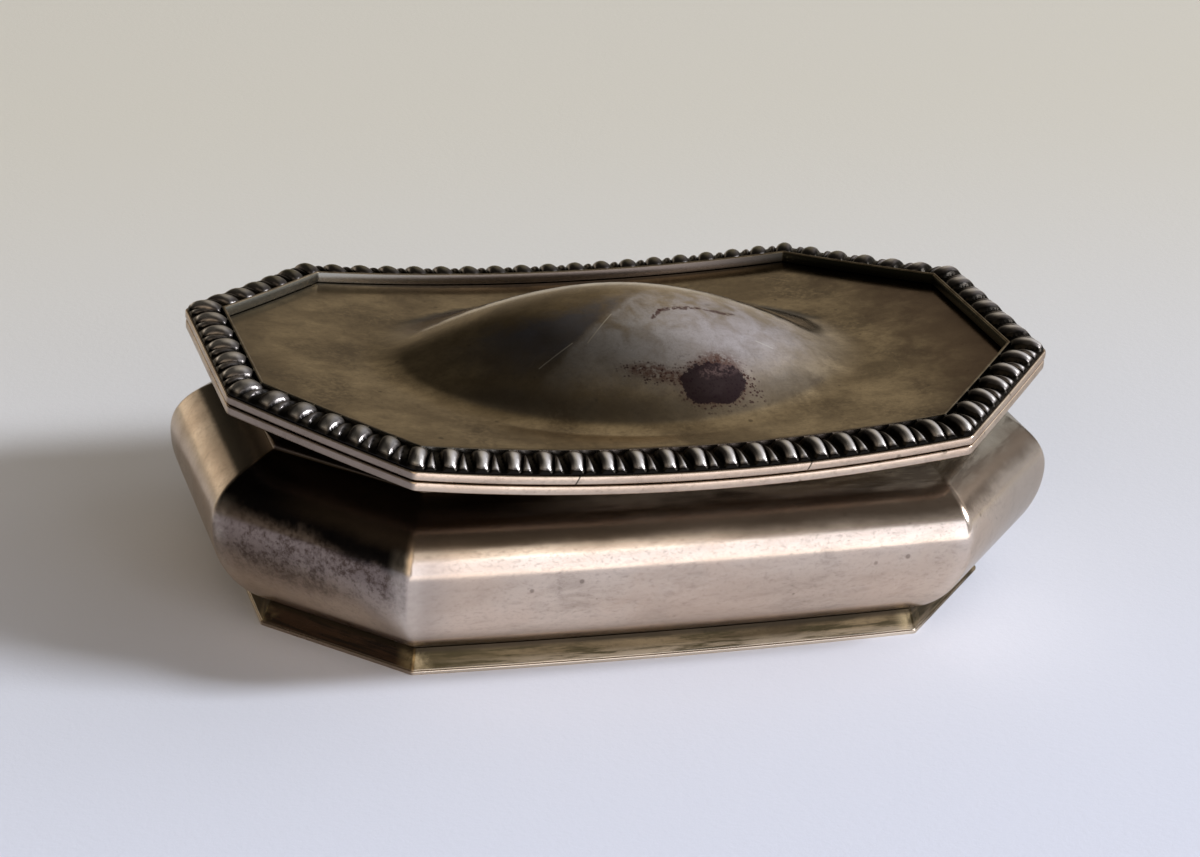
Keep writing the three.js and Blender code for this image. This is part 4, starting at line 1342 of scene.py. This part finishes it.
for start, end in SCRATCHES:
    lid.lay(SCRATCH, lid.span(segment_distance(lid, start, end), *SCRATCH_GAP))
# Dirt and a painted shadow line on the plate at the foot of the border's wall.
dirt_and_shadow_inset = lid.shift(lid.attribute("inset"), ripple, DIRT_AND_SHADOW_RIPPLE)
lid.lay(BORDER_DIRT_AND_SHADOW, lid.step(dirt_and_shadow_inset, *BORDER_DIRT_AND_SHADOW_INSETS))
lid.colour = lid.mix(lid.attribute("outer"), underside, lid.colour)
lid.paint(lid_plate)

# %% [markdown]
# ## Cedar
# Cedar is a soft straight-grained wood: narrow darker bands along the board over a warm ground. Noise that is
# stretched along the grain gives the bands, and a finer noise gives the pores. The floor's grain runs along
# the box, so it has its own stretch.

# %% Cedar finish
CEDAR_GROUND, CEDAR_BAND = (0.47, 0.25, 0.12), (0.30, 0.14, 0.065)
CEDAR_PORE = ((0.2, 0.09, 0.04), 0.4)
CEDAR_ROUGHNESS, PORE_ROUGHNESS = 0.5, 0.2
PORE_DEPTH = 0.06
BOARD_GRAIN = (18.0, 18.0, 260.0)
FLOOR_GRAIN = (18.0, 260.0, 260.0)


def cedar(name, grain):
    """Cedar whose grain is given as waves to the metre along x, y and z."""
    wood = Finish(name, 0.0)
    along_grain = wood.scaled(wood.place, *grain)
    bands = wood.noise(along_grain, 1.0, detail=6.0, roughness=0.6, distortion=0.6)
    pores = wood.noise(along_grain, 7.0, detail=3.0, roughness=0.7)
    wood.colour = wood.mix(wood.step(bands, 0.35, 0.7), CEDAR_GROUND, CEDAR_BAND)
    wood.lay(CEDAR_PORE, wood.step(pores, 0.55, 0.75))
    wood.feed(wood.shader, Roughness=wood.shift(CEDAR_ROUGHNESS, pores, PORE_ROUGHNESS))
    wood.bump(pores, PORE_DEPTH)
    return wood


cedar("cedar", BOARD_GRAIN).paint(*boards, frame["nodes"]["liner_divider"])
cedar("cedar_floor", FLOOR_GRAIN).paint(frame["nodes"]["liner_floor"])

# %% [markdown]
# ## Floor, light and camera
# The box stands on pale paper. Polished metal shows the room rather than its own shade, so the room is built
# with care: a window to the right that throws the shadow, a low white card in front that draws the bright
# band along the shoulder, a glow along the horizon, and a dark ceiling and left side that keep the other
# faces deep.

# %% Floor
FLOOR_SIZE = 6.0
NEAR_PAPER_AND_COOL_LIGHT, FAR_PAPER_AND_WARM_LIGHT, PAPER_Y = (0.72, 0.755, 0.89), (0.67, 0.645, 0.58), (-180.0, 300.0)
PAPER_ROUGHNESS = 0.85
PAPER_DEPTH = 0.06

bpy.ops.mesh.primitive_plane_add(size=FLOOR_SIZE, location=(0, 0, 0))
floor = bpy.context.object
floor.name = "floor"
paper = Finish("pale_paper", 0.0)
# Painted light: the paper is cooler and brighter near the camera, warmer and dimmer far off.
paper.colour = paper.mix(paper.span(paper.y, *PAPER_Y), NEAR_PAPER_AND_COOL_LIGHT, FAR_PAPER_AND_WARM_LIGHT)
paper.feed(paper.shader, Roughness=PAPER_ROUGHNESS)
paper.bump(paper.noise(paper.place, 700.0, detail=5.0, roughness=0.7), PAPER_DEPTH)
paper.paint(floor)

# %% Lamps, in metres
BOX_CENTRE = Vector((0, 0, 0.03))


def soft_box(name, place, size, radiance, colour):
    """Rectangular lamp that faces the box; radiance is how bright its own face looks."""
    light = bpy.data.lights.new(name, "AREA")
    light.shape = "RECTANGLE"
    light.size, light.size_y = size
    light.energy = radiance * math.pi * size[0] * size[1]
    light.color = colour
    lamp = bpy.data.objects.new(name, light)
    lamp.location = place
    lamp.visible_camera = False
    lamp.rotation_euler = (BOX_CENTRE - Vector(place)).to_track_quat("-Z", "Y").to_euler()
    bpy.context.collection.objects.link(lamp)
    return lamp


soft_box("window", (7.25, -2.5, 4.83), (2.25, 2.25), radiance=52.0, colour=(0.95, 0.99, 1.05))
soft_box("front_card", (0.28, -0.78, 0.235), (0.66, 0.47), radiance=1.5, colour=(0.89, 0.94, 1.12))
soft_box("left_card", (0.17, -0.66, 0.53), (0.16, 0.34), radiance=1.5, colour=(1.0, 0.98, 0.95))
soft_box("side_window", (2.12, 0.58, 1.15), (0.8, 0.8), radiance=1.0, colour=(0.97, 1.0, 1.03))
table_glow = soft_box("table_glow", (0.17, -0.375, 0.002), (0.5, 0.45), radiance=1.2, colour=(1.0, 0.94, 0.9))
table_glow.rotation_euler = (math.pi, 0, 0)
print("lamps:", [light.name for light in bpy.data.lights])

# %% Room
WARM_SIDE, COOL_SIDE, GLOW = (1.0, 0.9, 0.74), (0.97, 0.97, 1.0), (1.0, 0.8, 0.56)
GLOW_DIRECTION = (-0.40, -0.72, 0.57)
GLOW_FOCUS = 9.0
GLOW_STRENGTH = 1.5
DARK_ROOM = 0.045
WALL_LIGHT, WALL_CORNER, WALL_FRONT, WALL_TOP = 0.5, 0.08, 0.3, 0.3
HORIZON_LIGHT, HORIZON_RIGHT, HORIZON_BACK_LEFT = 0.22, 0.3, 0.75

world = bpy.data.worlds.new("dim_room")
world.use_nodes = True
room = Nodes(world.node_tree)
facing = room.add("ShaderNodeTexCoord").outputs["Generated"]
x, y, z = room.split(facing)
right_wall = room.both(room.step(x, 0.0, 0.04), WALL_CORNER)
right_wall = room.shift(right_wall, room.step(x, 0.03, 0.65, "LINEAR"), WALL_LIGHT)
towards_front = room.shift(WALL_FRONT, room.step(y, -0.5, 0.0), 1 - WALL_FRONT)
towards_top = room.shift(WALL_TOP, room.step(z, 0.98, 0.8), 1 - WALL_TOP)
right_wall = room.both(right_wall, towards_front, room.step(z, 0.05, 0.5), towards_top)
back_left = room.both(room.step(x, -0.85, -0.5), room.step(x, -0.1, -0.35))
low_band = room.shift(HORIZON_LIGHT, room.step(x, 0.15, 0.5), HORIZON_RIGHT)
low_band = room.shift(low_band, back_left, HORIZON_BACK_LEFT)
horizon = room.both(room.step(z, 0.42, 0.05), low_band)
towards_glow = room.add("ShaderNodeVectorMath", operation="DOT_PRODUCT")
for socket, value in zip(towards_glow.inputs, (facing, GLOW_DIRECTION)):
    room.put(socket, value)
glow = room.calc("POWER", room.calc("MAXIMUM", towards_glow.outputs["Value"], 0.0), GLOW_FOCUS)
walls = room.calc("ADD", room.calc("ADD", right_wall, horizon), DARK_ROOM)
colour = room.mix(glow, room.mix(room.step(x, 0.2, 0.7), WARM_SIDE, COOL_SIDE), GLOW)
room.feed(world.node_tree.nodes["Background"], Color=colour, Strength=room.shift(walls, glow, GLOW_STRENGTH))
bpy.context.scene.world = world
print("room:", len(room.tree.nodes), "nodes")

# %% Camera
FOCAL_PIXELS = 3067.4
IMAGE_WIDTH = 1200
SENSOR = 36.0
AZIMUTH = math.radians(-18.392)
ELEVATION = math.radians(23.074)
ROLL = math.radians(3.964)
DISTANCE = 0.57303
TARGET = Vector((-0.002363, 0, 0.026425))

level_reach = math.cos(ELEVATION)
away = Vector((math.sin(AZIMUTH) * level_reach, -math.cos(AZIMUTH) * level_reach, math.sin(ELEVATION)))
level_right = (-away).cross(Vector((0, 0, 1))).normalized()
level_up = level_right.cross(-away)
right = math.cos(ROLL) * level_right + math.sin(ROLL) * level_up
up = math.cos(ROLL) * level_up - math.sin(ROLL) * level_right
camera_data = bpy.data.cameras.new("photo_view")
camera_data.sensor_width = SENSOR
camera_data.lens = FOCAL_PIXELS * SENSOR / IMAGE_WIDTH
camera = bpy.data.objects.new("photo_view", camera_data)
turn = Matrix((right, up, away)).transposed().to_4x4()
camera.matrix_world = Matrix.Translation(TARGET + away * DISTANCE) @ turn
bpy.context.collection.objects.link(camera)
bpy.context.scene.camera = camera
bpy.context.scene.view_settings.view_transform = "Standard"
print("camera: lens", round(camera_data.lens, 1), "mm,", DISTANCE, "m from the box")
